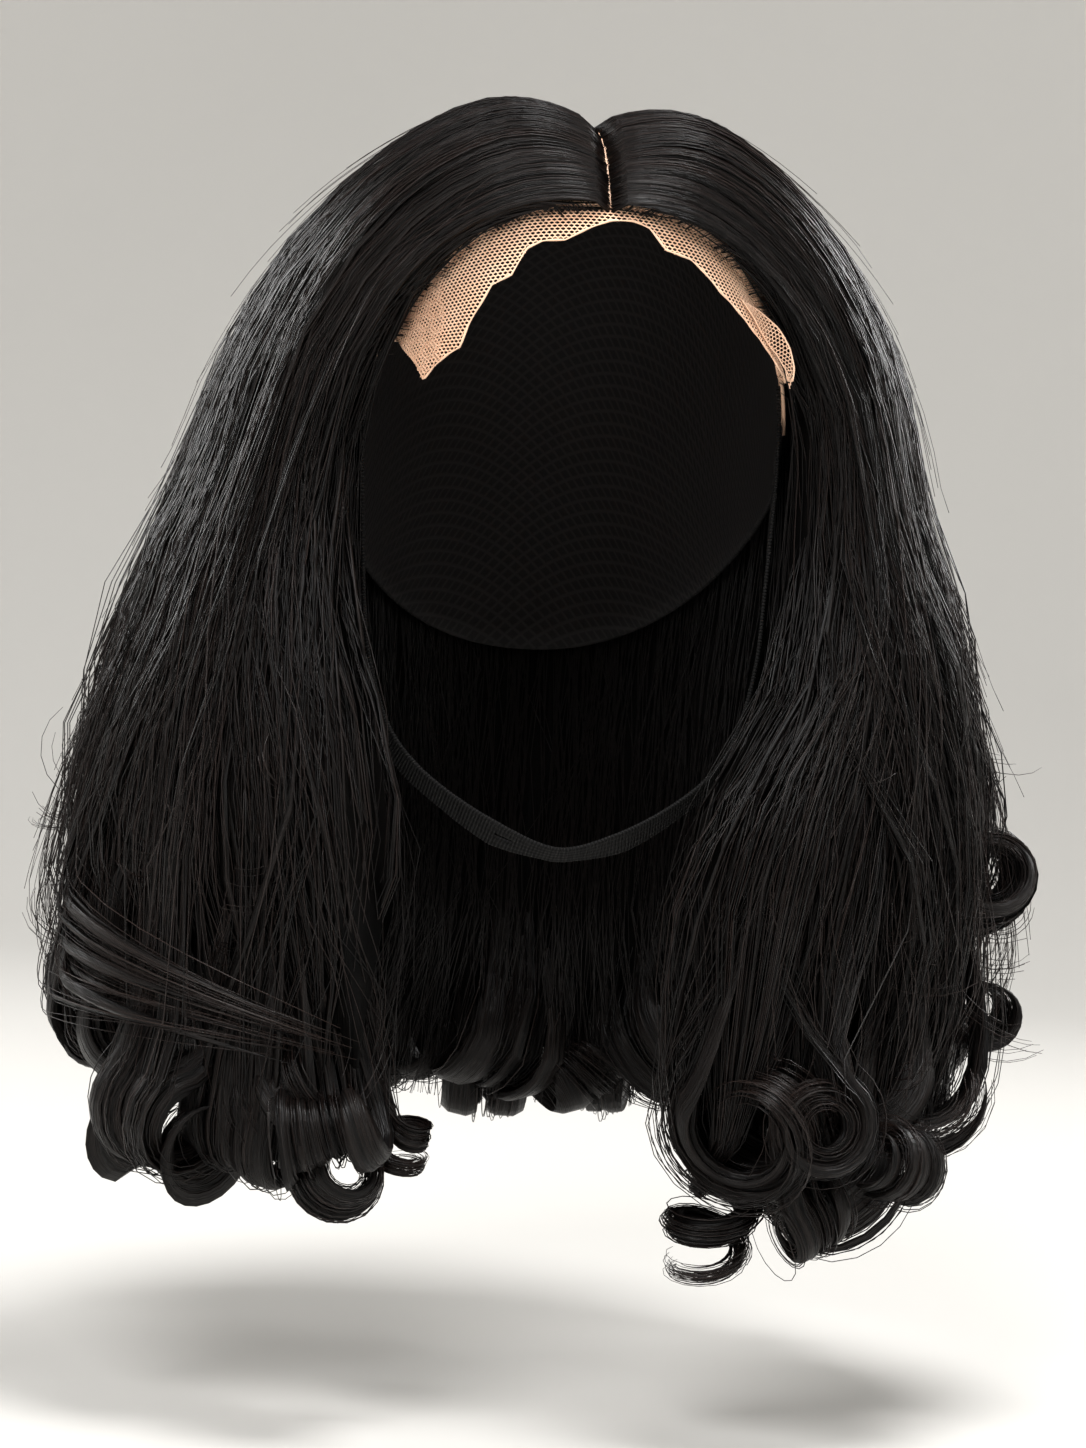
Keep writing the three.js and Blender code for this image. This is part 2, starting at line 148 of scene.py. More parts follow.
# Faces of a closed wall made of such rings: the cells all round it, and its two ends.
def wallFaces(rows, sides):
    row = (np.arange(rows - 1) * sides)[:, None]
    side = np.arange(sides)[None, :]
    nextSide = (side + 1) % sides
    cells = np.stack([row + side, row + nextSide, row + sides + nextSide, row + sides + side], -1)
    k = np.arange(sides // 2 - 1)
    end = (rows - 1) * sides
    first = np.stack([k, sides - 1 - k, sides - 2 - k, k + 1], -1)
    last = np.stack([end + k, end + k + 1, end + sides - 2 - k, end + sides - 1 - k], -1)
    return cells, np.concatenate([first, last])


# Closed tubes along many paths at once, oval where wide and thick differ.
def tubes(paths, wide, thick, sides, firstWay=None):
    count, steps = paths.shape[:2]
    tangents = unit(np.gradient(paths, axis=1))
    if firstWay is None:  # upward, or sideways where a path starts nearly upright
        firstWay = np.where(np.abs(tangents[:, 0, 2:3]) < 0.9, [[0.0, 0.0, 1.0]], [[1.0, 0.0, 0.0]])
    way = firstWay
    rings = np.empty((count, steps, sides, 3))
    angles = (np.arange(sides) * 2 * math.pi / sides)[None, :, None]
    for k in range(steps):
        way = unit(way - tangents[:, k] * dot(way, tangents[:, k]))
        over = np.cross(tangents[:, k], way)
        rings[:, k] = (paths[:, k, None] + way[:, None] * np.cos(angles) * wide[:, k, None, None]
                       + over[:, None] * np.sin(angles) * thick[:, k, None, None])
    base = (np.arange(count) * steps * sides)[:, None, None]
    step = (np.arange(steps - 1) * sides)[None, :, None]
    side = np.arange(sides)[None, None, :]
    nextSide = (side + 1) % sides
    quads = np.stack(np.broadcast_arrays(base + step + side, base + step + nextSide,
                                         base + step + sides + nextSide, base + step + sides + side), -1)
    first = base[:, 0] + np.arange(sides)[None, ::-1]
    last = base[:, 0] + (steps - 1) * sides + np.arange(sides)[None, :]
    return rings.reshape(-1, 3), [quads.reshape(-1, 4), first, last]


# Tubes of one width.
def threads(paths, width, sides):
    half = np.full(paths.shape[:2], width / 2)
    return tubes(paths, half, half, sides)


# Puts several meshes end to end as one.
def joined(parts):
    points, faceSets, shift = [], [], 0
    for partPoints, partFaces in parts:
        faceSets.extend(faces + shift for faces in partFaces)
        points.append(partPoints)
        shift += len(partPoints)
    return np.concatenate(points), faceSets


# Mesh from points in millimetres and a list of face arrays, each with one corner count.
def makePiece(name, points, faceSets, material, node, slot, uv=None, tone=None):
    mesh = bpy.data.meshes.new(name)
    points = np.asarray(points, dtype=np.float32) * mm
    corners = np.concatenate([np.asarray(faces).ravel() for faces in faceSets]).astype(np.int32)
    sizes = np.concatenate([np.full(len(faces), np.asarray(faces).shape[1]) for faces in faceSets])
    mesh.vertices.add(len(points))
    mesh.vertices.foreach_set("co", points.ravel())
    mesh.loops.add(len(corners))
    mesh.loops.foreach_set("vertex_index", corners)
    mesh.polygons.add(len(sizes))
    starts = np.concatenate([[0], np.cumsum(sizes)[:-1]]).astype(np.int32)
    mesh.polygons.foreach_set("loop_start", starts)
    mesh.polygons.foreach_set("use_smooth", np.ones(len(sizes), dtype=bool))
    if uv is not None:
        layer = mesh.uv_layers.new(name="flow")
        layer.data.foreach_set("uv", np.asarray(uv, dtype=np.float32)[corners].ravel())
    if tone is not None:
        layer = mesh.attributes.new("tone", "FLOAT", "POINT")
        layer.data.foreach_set("value", np.asarray(tone, dtype=np.float32).ravel())
    mesh.update(calc_edges=True)
    mesh.validate()
    mesh.materials.append(material)
    piece = bpy.data.objects.new(name, mesh)
    bpy.context.scene.collection.objects.link(piece)
    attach(piece, "root")
    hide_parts(node)
    triangles = int((sizes - 2).sum())
    print(name, triangles, "triangles")
    return piece


# Sizes of the wig in millimetres, the same as the solids it dresses.
head = {"templeHalf": 66, "backHalf": 72, "widens": (-0.5, 0.5), "front": 90, "back": 97, "crown": 100,
        "nape": 128, "power": 2.2}
wall = {"cap": 1.5, "lace": 1.0, "hairClear": 1.8, "seamAngle": 100, "earAngle": 78, "earSteps": 61,
        "gap": 0.4}
parting = {"half": 1.3, "front": -69, "back": 30}
combing = {"front": -31, "back": 46, "curve": 2.2, "rear": (20, 90)}  # where hair comes down at the ears
shoulder = 0.44  # share of a strand that lies on the head
mound = {"high": 9.5, "until": 0.3, "flare": 27, "curve": 1.7}  # how the hair rises beside the parting
backTurn = 60  # degrees that each half of the back curtain turns through
hairMiddle = 10  # y of the upright line that the hair swells away from
centre = np.array([0.0, 0.0, -head["crown"]])

curtainColumns = ("z", "frontInX", "frontInY", "earInX", "earInY", "backInX", "backInY", "rearIn",
                  "frontOutX", "frontOutY", "earOutX", "earOutY", "backOutX", "backOutY", "rearOut",
                  "rightLean")
curtainRows = (
    (-100, 67, -33, 79, 18, 73, 46, 103, 81, -52, 114, -2, 98, 74, 122, 0),
    (-135, 65, -38, 81, 18, 73, 46, 99, 84, -60, 126, -4, 105, 79, 126, 1),
    (-170, 62, -53, 82, 18, 69, 45, 90, 82, -75, 136, -6, 113, 84, 131, 4),
    (-205, 49, -66, 79, 17, 65, 43, 82, 75, -87, 145, -8, 119, 88, 135, 13),
    (-240, 42, -69, 74, 16, 63, 42, 78, 69, -92, 151, -10, 123, 91, 137, 15),
    (-275, 38, -69, 73, 16, 63, 42, 77, 66, -94, 151, -10, 123, 91, 136, 6),
    (-310, 38, -69, 75, 15, 65, 42, 77, 64, -92, 144, -10, 117, 86, 130, 3),
    (-345, 42, -67, 80, 15, 68, 43, 79, 60, -84, 118, -8, 98, 75, 115, 0),
)
curtain = dict(zip(curtainColumns, np.array(curtainRows, dtype=float).T))

# Locks front to back: share of the width, height of the tip, swell.
locks = {
    "hair_left": ((0.10, -304, 3), (0.14, -322, 5), (0.15, -320, 6), (0.16, -306, 6), (0.15, -298, 6),
                  (0.15, -304, 5), (0.15, -308, 3)),
    "hair_right": ((0.10, -320, 3), (0.14, -330, 5), (0.15, -314, 6), (0.16, -308, 6), (0.15, -298, 6),
                   (0.15, -304, 5), (0.15, -308, 3)),
    "hair_back": ((0.17, -310, 3), (0.16, -316, 5), (0.17, -320, 5), (0.17, -321, 5), (0.16, -315, 5),
                  (0.17, -310, 3)),
}
# Ridges of the locks, the low brow beside the face and the thinning toward the tips.
lockShape = {"sharp": 0.7, "level": 0.55, "swells": (0.2, 0.8), "brow": 0.3, "browWide": 0.2, "least": 0.8,
             "thins": 0.72, "thinShare": 0.72, "tipDepth": 0.62, "notch": 16, "backOff": 0.8, "edgeIn": 0.5}

# Set curls: place across the piece, centre, degrees that it faces and tilts, radius at start and end,
# start angle, sweep, rise in a turn, half width and half thickness.
curlColumns = ("across", "x", "y", "z", "out", "tilt", "big", "small", "start", "sweep", "rise", "wide",
               "thick")
curlRows = {
    "hair_left": (
        (0.03, -43, -64, -307, 180, 112, 9, 8, 60, 560, -9, 4, 2.2),
        (0.08, -60, -70, -321, 10, 24, 15, 9, 150, 330, 4, 10, 3.8),
        (0.13, -67, -84, -305, 262, -12, 14, 8, 205, 400, 4, 14, 5.0),
        (0.24, -110, -54, -308, 208, 8, 24, 14, 40, -350, 6, 18, 6.0),
        (0.42, -58, 0, -264, 180, 86, 93, 93, 18, 66, -130, 9, 4.6),
        (0.38, -136, -16, -264, 184, 10, 15, 8, 160, 330, 5, 14, 4.8),
        (0.47, -139, -2, -238, 178, 6, 14, 9, 172, 190, 4, 13, 3.8),
        (0.56, -136, 14, -292, 170, 0, 15, 8, 160, 350, 6, 14, 5.0),
        (0.69, -122, 40, -298, 158, 0, 16, 8, 160, 350, 6, 14, 5.0),
        (0.84, -110, 59, -301, 148, 0, 15, 8, 160, 340, 4, 13, 5.0),
    ),
    "hair_right": (
        (0.04, 53, -66, -318, 0, 70, 14, 11, 200, -760, -15, 5, 3.2),
        (0.11, 82, -71, -328, 292, -24, 12, 8, 55, -350, 4, 12, 4.2),
        (0.17, 80, -83, -297, 0, 4, 17, 13, 60, -380, 8, 10, 4.6),
        (0.27, 112, -58, -310, 312, 10, 15, 9, 205, 350, 6, 14, 5.0),
        (0.34, 122, -44, -288, 348, 4, 27, 19, 188, 185, 3, 15, 5.0),
        (0.46, 144, -6, -224, 0, 8, 19, 11, 200, 380, 5, 16, 5.0),
        (0.53, 147, 2, -268, 2, 0, 15, 8, 170, 350, 4, 13, 4.6),
        (0.64, 131, 30, -296, 18, 0, 16, 8, 160, 350, 4, 14, 5.0),
        (0.82, 110, 59, -301, 32, 0, 15, 8, 160, 340, -4, 13, 5.0),
    ),
    "hair_back": (
        (0.14, -75, 98, -306, 128, 0, 16, 8, 160, 350, 4, 14, 5.0),
        (0.32, -42, 117, -311, 108, 0, 17, 8, 160, 350, 4, 15, 5.4),
        (0.50, 0, 123, -315, 90, 0, 17, 8, 160, 360, 4, 16, 5.4),
        (0.68, 42, 117, -311, 72, 0, 17, 8, 160, 350, -4, 15, 5.4),
        (0.86, 75, 98, -306, 52, 0, 16, 8, 160, 350, -4, 14, 5.0),
    ),
}
curls = {name: [dict(zip(curlColumns, row)) for row in rows] for name, rows in curlRows.items()}
broadRadius = 40  # a curl with a larger radius is the lock that sweeps across the left side
corkscrew = {"tilt": 60, "narrow": 0.3, "opens": 150}  # a steep curl starts narrow and opens as it turns


def headRadius(way):
    reach = np.where(way[..., 1] < 0, head["front"], head["back"])
    tall = np.where(way[..., 2] > 0, head["crown"], head["nape"])
    half = mix(head["templeHalf"], head["backHalf"], smoothstep(way[..., 1], *head["widens"]))
    power = head["power"]
    total = (np.abs(way[..., 0] / half) ** power + np.abs(way[..., 1] / reach) ** power
             + np.abs(way[..., 2] / tall) ** power)
    return total ** (-1 / power)


def onHead(way, off):
    return way * (headRadius(way) + off)[..., None] + centre


def overHead(ear, up):
    ear, up = np.radians(ear), np.radians(up)
    flat = np.cos(ear)
    return np.stack([np.sin(ear), -flat * np.cos(up), flat * np.sin(up)], -1)


def atHeight(column, z):
    heights, values = curtain["z"], curtain[column]
    last = len(heights) - 1
    k = np.clip(np.searchsorted(-heights, -z, side="right") - 1, 0, last - 1)
    t = (z - heights[k]) / (heights[k + 1] - heights[k])
    low, high = values[k], values[k + 1]
    slopeLow = (high - values[np.maximum(k - 1, 0)]) / 2
    slopeHigh = (values[np.minimum(k + 2, last)] - low) / 2
    return hermite(t, low, slopeLow, high, slopeHigh)


# Outline of a hanging curtain: across runs front to back, depth from the hollow side to the outer face.
def hang(name, across, depth, z):
    def read(inner, outer):
        return mix(atHeight(inner, z), atHeight(outer, z), depth)

    edgeX, edgeY = read("backInX", "backOutX"), read("backInY", "backOutY")
    if name == "hair_back":
        turn = np.radians((2 * across - 1) * backTurn)
        x = edgeX * np.sin(turn) / math.sin(math.radians(backTurn))
        y = mix(edgeY, read("rearIn", "rearOut"), 2 * np.cos(turn) - 1)  # 0 at the edges, 1 at the rear
        return np.stack([x, y, z], -1)
    side = -1 if name == "hair_left" else 1
    # shares of the front edge, the ear and the back edge in a smooth arc through all three
    front = 2 * (across - 0.5) * (across - 1)
    ear = 4 * across * (1 - across)
    back = 2 * across * (across - 0.5)
    lean = atHeight("rightLean", z) if side > 0 else 0
    x = front * (read("frontInX", "frontOutX") - lean) + ear * read("earInX", "earOutX") + back * edgeX
    y = front * read("frontInY", "frontOutY") + ear * read("earInY", "earOutY") + back * edgeY
    return np.stack([side * x, y, z], -1)


# Way from the head's centre to hair combed aside: turn runs from 0 at the parting to 1 at the ear.
def combed(side, across, turn):
    top = mix(parting["front"], parting["back"], across)
    y = mix(top, mix(combing["front"], combing["back"], across), turn ** combing["curve"])
    power = head["power"]
    reach = np.where(y < 0, head["front"], head["back"])
    size = (1 - np.abs(y / reach) ** power) ** (1 / power)
    x = head["backHalf"] * size * np.sin(turn * math.pi / 2) ** (2 / power)
    z = head["crown"] * size * np.abs(np.cos(turn * math.pi / 2)) ** (2 / power)
    return unit(np.stack([side * (x + parting["half"] * (1 - turn)), y, z], -1))


def combedBack(across, turn):
    edge = combed(np.where(across < 0.5, -1, 1), np.ones_like(across), turn)
    slope = np.radians(mix(*combing["rear"], turn))
    rear = np.stack([np.zeros_like(slope), np.sin(slope), np.cos(slope)], -1)
    return unit(mix(rear, edge, np.abs(2 * across - 1)[..., None]))


def lockAt(name, across):
    shares = np.array(locks[name])
    ends = np.cumsum(shares[:, 0])
    k = np.clip(np.searchsorted(ends, across), 0, len(ends) - 1)
    inside = np.clip((across - ends[k] + shares[k, 0]) / shares[k, 0], 0, 1)
    return shares[k, 1], shares[k, 2], inside


# Height of the hem, run smoothly from lock to lock.
def hemHeight(name, across):
    shares = np.array(locks[name])
    middles = np.cumsum(shares[:, 0]) - shares[:, 0] / 2
    return np.interp(across, middles, shares[:, 1])


# Ways out from the middle of the head and along the hair's outline, level with the floor.
def sideways(points):
    out = unit(np.stack([points[..., 0], points[..., 1] - hairMiddle, np.zeros(points.shape[:-1])], -1))
    return out, np.stack([-out[..., 1], out[..., 0], out[..., 2]], -1)


# Point in a hair piece; down runs from 0 at the root to 1 at the tip.
def hairPoint(name, across, depth, down, hem=None):
    across, depth, down = np.broadcast_arrays(*(np.asarray(v, dtype=float) for v in (across, depth, down)))
    shape = lockShape
    isBack = name == "hair_back"
    side = -1 if name == "hair_left" else 1
    safe = np.clip(across, 0, 1)
    tip, swell, inside = lockAt(name, safe)
    ridge = np.abs(np.sin(inside * math.pi))
    swell = swell * (ridge ** shape["sharp"] - shape["level"]) * smoothstep(down, *shape["swells"]) * depth
    brow = 1.0 if isBack else mix(shape["brow"], 1.0, smoothstep(safe, 0, shape["browWide"]))

    def dome(turn):
        way = combedBack(safe, turn) if isBack else combed(side, safe, turn)
        rounded = 1 - (1 - np.minimum(turn / mound["until"], 1)) ** 2
        lift = mound["high"] * rounded + mound["flare"] * turn ** mound["curve"]
        return onHead(way, wall["cap"] + wall["hairClear"] + depth * (shape["least"] + lift * brow))

    turn = np.clip(down / shoulder, 0, 1)
    miss = hang(name, safe, depth, np.full_like(depth, centre[2])) - dome(np.ones_like(turn))
    onCap = dome(turn) + miss * turn[..., None] ** 3
    fall = np.clip((down - shoulder) / (1 - shoulder), 0, 1)
    thin = shape["thinShare"] * smoothstep(fall, shape["thins"], 1)
    lowest = tip + shape["notch"] * (1 - ridge) if hem is None else hem
    below = hang(name, safe, mix(depth, shape["tipDepth"], thin), mix(centre[2], lowest, fall))
    point = np.where((down < shoulder)[..., None], onCap, below)
    point = point + sideways(point)[0] * swell[..., None]
    if isBack:
        edge = 2 * safe - 1
        inward = -np.sign(edge) * shape["edgeIn"] * np.abs(edge) ** 4
        point = point + np.stack([inward, np.full_like(down, shape["backOff"]), np.zeros_like(down)], -1)
    return point


def isBroad(row):
    return row["big"] > broadRadius


# Way that a curl faces and the axis that it winds round.
def curlWays(row):
    out, tilt = math.radians(row["out"]), math.radians(row["tilt"])
    outward = np.array([math.cos(out), math.sin(out), 0.0])
    return outward, np.array([outward[1] * math.cos(tilt), -outward[0] * math.cos(tilt), math.sin(tilt)])


# Point in the ribbon of a curl: along 0 to 1, lateral and radial offsets in millimetres.
def curlPoint(row, along, lateral, radial, loose, phase):
    outward, axis = curlWays(row)
    upward = np.cross(axis, outward)
    swept = along * abs(row["sweep"])
    angle = np.radians(row["start"] + phase + row["sweep"] * along)
    opening = 1.0
    if row["tilt"] > corkscrew["tilt"] and not isBroad(row):
        opening = mix(corkscrew["narrow"], 1.0, smoothstep(swept, 0, corkscrew["opens"]))
    radius = mix(row["big"], row["small"], along) * opening * loose + radial
    rise = row["rise"] * swept / 360 + lateral
    place = np.array([row["x"], row["y"], row["z"]])
    return (place + outward * (radius * np.cos(angle))[..., None]
            + upward * (radius * np.sin(angle))[..., None] + axis * rise[..., None])


rollEntry = 0.6  # how firmly a strand already points along its roll where it enters it


# Paths that run on from the curtain into their rolls by a smooth join.
def intoRoll(upper, roll, steps):
    t = (np.arange(1, steps + 1) / (steps + 1))[None, :, None]
    start, end = upper[:, -1:], roll[:, :1]
    reach = np.linalg.norm(end - start, axis=-1, keepdims=True)
    leave = unit(start - upper[:, -2:-1]) * reach
    enter = unit(roll[:, 1:2] - end) * reach * rollEntry
    return np.concatenate([upper, hermite(t, start, leave, end, enter), roll], 1)


onFlow = ("ShaderNodeUVMap", {"uv_map": "flow"}, "UV")
byTone = ("ShaderNodeAttribute", {"attribute_name": "tone"}, "Fac")
# streaks from 1.5 mm down to 0.4 mm wide and 60 mm long, coarser than strands so that they show
streakLook = {"wide": 1.5, "long": 60, "darkest": 0.4, "lightest": 0.68,
              "bump": {"Strength": 1.0, "Distance": 0.002}}
streakSize = (1 / streakLook["wide"], 1 / streakLook["long"], 1)
inStreaks = (onFlow, ("ShaderNodeMapping", {"Scale": streakSize}, "Vector"),
             ("ShaderNodeTexNoise", {"Scale": 1.0, "Detail": 3.0, "Roughness": 0.7}, "Fac"))


# Natural black hair, pressed straight and set in rollers: near black with brown in a strand's tone, partly
# its own at random and partly painted light coming through at the tips and stray hairs, and a soft sheen
# from the scales of each strand.
def blackHair(name, dark, light, roughness, gloss, streaked):
    surface = {"Roughness": roughness, "IOR": 1.55, "Specular IOR Level": gloss}
    if streaked:
        stops = ((streakLook["darkest"], dark), (streakLook["lightest"], light))
        return makeMaterial(name, surface, inStreaks, stops, streakLook["bump"])
    return makeMaterial(name, surface, (byTone,), ((0, dark), (1, light)))


hairStrand = blackHair("pressed black hair strands", dark="#040303", light="#332723", roughness=0.3,
                       gloss=0.22, streaked=False)
hairLock = blackHair("pressed black hair locks", dark="#030202", light="#1e1917", roughness=0.4,
                     gloss=0.14, streaked=True)
# the hair underneath is a darker, duller copy of the black hair: painted shade inside the hair
hairUnderPaintedShade = blackHair("pressed black hair underneath in painted shade", dark="#030303", light="#0b0908", roughness=0.6,
                      gloss=0.05, streaked=True)

massLook = {"seed": 5, "acrossSteps": 130, "downSteps": 24, "crowding": 1.2, "outer": 0.9, "inner": 0.1,
            "edge": 0.006, "frontSetback": 0.025, "partSetback": 0.014, "end": 0.94, "uneven": 0.012,
            "ripple": 0.014, "rippleRates": (70, 113, 171), "ridge": 0.015, "ridgeFrom": (0.15, 0.5),
            "closes": 0.72, "tipOuter": 0.56, "tipInner": 0.44, "mapWide": 170, "mapLong": 360}


# Under-mass of each hair piece, ridged by its locks and ending in uneven points; its darker colour is
# painted shade inside the hair.
def hairMass(name):
    look = massLook
    isBack = name == "hair_back"
    front = look["edge"] if isBack else look["frontSetback"]
    across = np.linspace(front, 1 - look["edge"], look["acrossSteps"])
    rng = np.random.default_rng(look["seed"])
    phases = rng.uniform(0, fullTurn, len(look["rippleRates"]))
    ripple = sum(np.sin(across * rate + phase) for rate, phase in zip(look["rippleRates"], phases))
    ends = look["end"] + look["uneven"] * rng.uniform(-1, 1, len(across)) + look["ripple"] * ripple
    top = 0.0 if isBack else look["partSetback"]
    down = mix(top, ends[:, None], np.linspace(0, 1, look["downSteps"])[None, :] ** look["crowding"])
    closing = smoothstep(down / ends[:, None], look["closes"], 1.0)
    ridged = look["outer"] + look["ridge"] * ripple[:, None] * smoothstep(down, *look["ridgeFrom"])
    outer = hairPoint(name, across[:, None], mix(ridged, look["tipOuter"], closing), down)
    inner = hairPoint(name, across[:, None], mix(look["inner"], look["tipInner"], closing), down)
    rings = np.concatenate([outer, inner[:, ::-1]], 1)
    cells, caps = wallFaces(*rings.shape[:2])
    faces = np.concatenate([cells.reshape(-1, 4), caps])
    if name == "hair_left":
        faces = faces[:, ::-1]
    flow = np.broadcast_arrays(across[:, None] * look["mapWide"], bothFaces(down) * look["mapLong"])
    makePiece(name + "_mass", rings.reshape(-1, 3), [faces], hairUnderPaintedShade, name, "hair",
              uv=np.stack(flow, -1).reshape(-1, 2))


# What is combed into each piece: clumps for a set curl, rolls at the hem, short flips, clumps along the
# face, strands in a clump, strands on the hollow side and stray hairs.
combColumns = ("seed", "pieces", "curlClumps", "hemRolls", "looseClumps", "edgeClumps", "strands", "inner",
               "stray", "swing", "broadFlips")
combRows = {
    "hair_left": (11, 2, 9, 9, 46, 24, 6, 90, 320, 0.13, 0.25),
    "hair_right": (23, 2, 10, 9, 46, 24, 6, 90, 320, 0.3, 0.6),
    "hair_back": (37, 1, 7, 7, 24, 0, 7, 420, 110, 0.0, 0.3),
}
combLook = {name: dict(zip(combColumns, row)) for name, row in combRows.items()}
# strands are painted a lighter brown from tipFrom to the tip: painted light shining through the ends
strandLook = {"width": 0.44, "tipWidth": 0.18, "uneven": (0.8, 1.2), "rootWidth": 0.6, "rootRun": 0.1,
              "sides": 3, "stepAngle": 22, "steps": 7, "tone": (0.12, 0.05), "toneScatter": 0.15,
              "toneLimits": (0.02, 0.8), "tipPaintedLight": 0.3, "tipFrom": 0.72}
bodyShare = np.array([0, 0.02, 0.045, 0.075, 0.11, 0.155, 0.21, 0.28, 0.36, 0.45, 0.55, 0.66, 0.77, 0.88,
                      1.0])
swayLook = {"size": (0.95, 0.5), "rate": (2.4, 6.0), "begins": 0.25, "clumpBegins": 0.06, "full": 0.72,
            "outSize": 0.45, "outRate": 1.3, "outPhase": 2.1, "swingEnds": (0.42, 0.86)}
rootLook = {"ahead": 5, "inParting": (0.05, 1), "rises": (-0.01, 0.1), "off": 0.25}


# Waves along the outline and in and out, which grow toward the tips.
def swayed(points, down, size, rate, phase, begin=swayLook["clumpBegins"]):
    out, along = sideways(points)
    grow = size * smoothstep(down, begin, swayLook["full"])
    outWave = np.sin(fullTurn * swayLook["outRate"] * rate * down + swayLook["outPhase"] * phase)
    return (points + along * (grow * np.sin(fullTurn * rate * down + phase))[..., None]
            + out * (swayLook["outSize"] * grow * outWave)[..., None])


# Upper part of strands, from root to stop, with the swing and the drift that their clump shares.
def strandBody(name, across, depth, root, stop, swing, drift, rng, share=bodyShare):
    count = len(across)
    down = root[:, None] + (stop - root)[:, None] * share[None, :]
    column = np.asarray(across)[:, None] - swing * (1 - smoothstep(down, *swayLook["swingEnds"]))
    rising = np.where(root[:, None] > 0, smoothstep(down - root[:, None], *rootLook["rises"]), 1.0)
    hem = hemHeight(name, across)[:, None]
    points = hairPoint(name, np.clip(column, 0, 1), depth[:, None] * rising, down, hem)
    points = swayed(points, down, *drift)
    own = (rng.lognormal(*swayLook["size"], count)[:, None], rng.uniform(*swayLook["rate"], count)[:, None],
           rng.uniform(0, fullTurn, count)[:, None])
    points = swayed(points, down, *own, begin=swayLook["begins"])
    # roots start on the lace, a little ahead of the hairline or inside the parting
    if name != "hair_back":
        first = points[:, 0].copy()
        ahead = rng.uniform(0, 1, count) ** 2
        onEdge = root > 0
        first[:, 1] -= np.where(onEdge, rootLook["ahead"] * ahead, 0)
        first[:, 0] *= np.where(onEdge, 1, rng.uniform(*rootLook["inParting"], count))
        points[:, 0] = onHead(unit(first - centre), np.full(count, wall["lace"] + rootLook["off"]))
    return points


faceScatter = 18  # degrees


# Way out of the outer face at a place on it, with a little scatter.
def faceOut(name, across, down, rng):
    point = hairPoint(name, across, 1.0, down, hemHeight(name, across))
    turn = math.degrees(math.atan2(point[1] - hairMiddle, point[0])) + rng.normal(0, faceScatter)
    return point, turn, np.array([math.cos(math.radians(turn)), math.sin(math.radians(turn)), 0])


hemLook = {"clumps": 8, "radius": (18, 30), "small": (0.35, 0.6), "underShare": 0.65, "down": 0.93,
           "below": 12, "raised": (-2, 16), "underIn": (0.7, 1.1), "flipIn": (0.2, 0.6), "underStart": 25,
           "flipStart": 190, "startScatter": 12, "sweep": (220, 380), "tilt": 20, "rise": 8, "wide": 18.0,
           "thick": 5.0}


# Row for one more roll at the hem, turned under or flipped out.
def hemRoll(name, across, rng):
    look = hemLook
    point, turn, outward = faceOut(name, across, look["down"], rng)
    big = rng.uniform(*look["radius"])
    under = rng.random() < look["underShare"]
    point[2] = hemHeight(name, across) - look["below"] + big + rng.uniform(*look["raised"])
    x, y, z = point - outward * big * rng.uniform(*look["underIn" if under else "flipIn"])
    start = look["underStart" if under else "flipStart"] + rng.normal(0, look["startScatter"])
    sweep = rng.uniform(*look["sweep"]) * (-1 if under else 1)
    return dict(across=across, x=x, y=y, z=z, out=turn, tilt=rng.normal(0, look["tilt"]), big=big,
                small=big * rng.uniform(*look["small"]), start=start, sweep=sweep,
                rise=rng.normal(0, look["rise"]), wide=look["wide"], thick=look["thick"])


flipLook = {"radius": (8, 16), "broad": (18, 34), "small": (0.6, 0.95), "off": (-6, -1),
            "broadOff": 0.62, "broadSunk": 9, "start": 180, "startScatter": 10, "sweep": (60, 210),
            "broadSweep": 0.5, "tilt": 25, "rise": 6, "wide": 5.0, "thick": 2.4}


# Row for a short tuft that flips out of the outer face.
def looseFlip(name, across, down, rng):
    look = flipLook
    point, turn, outward = faceOut(name, across, down, rng)
    broad = rng.random() < combLook[name]["broadFlips"]
    big = rng.uniform(*look["broad" if broad else "radius"])
    off = look["broadOff"] * big - look["broadSunk"] if broad else rng.uniform(*look["off"])
    x, y, z = point + outward * off
    sweep = rng.uniform(*look["sweep"]) * (look["broadSweep"] if broad else 1)
    return dict(across=across, x=x, y=y, z=z, out=turn, tilt=rng.normal(0, look["tilt"]), big=big,
                small=big * rng.uniform(*look["small"]),
                start=look["start"] + rng.normal(0, look["startScatter"]), sweep=sweep,
                rise=rng.normal(0, look["rise"]), wide=look["wide"], thick=look["thick"])


clumpLook = {"drift": (2.0, 8.0), "driftRate": (1.2, 3.2), "spread": 0.012, "depth": 0.032,
             "lockDepth": 0.03, "rootScatter": 0.012, "firstRoot": 0.002, "aside": 0.22, "layer": 0.3,
             "tipThick": 0.7, "wide": 1.1, "tipWide": 0.6, "lockEnding": 0.88, "ending": (0.7, 1.04),
             "turn": 100, "lead": 3}
broadClump = {"wide": 2.3, "ending": (0.5, 1.04), "lead": 16, "sink": 9.0}  # tips sink into the hair


# A value for the flat lock on top of those for the strands of its clump, as a column.
def lockFirst(own, others):
    return np.concatenate([[own], others])[:, None]


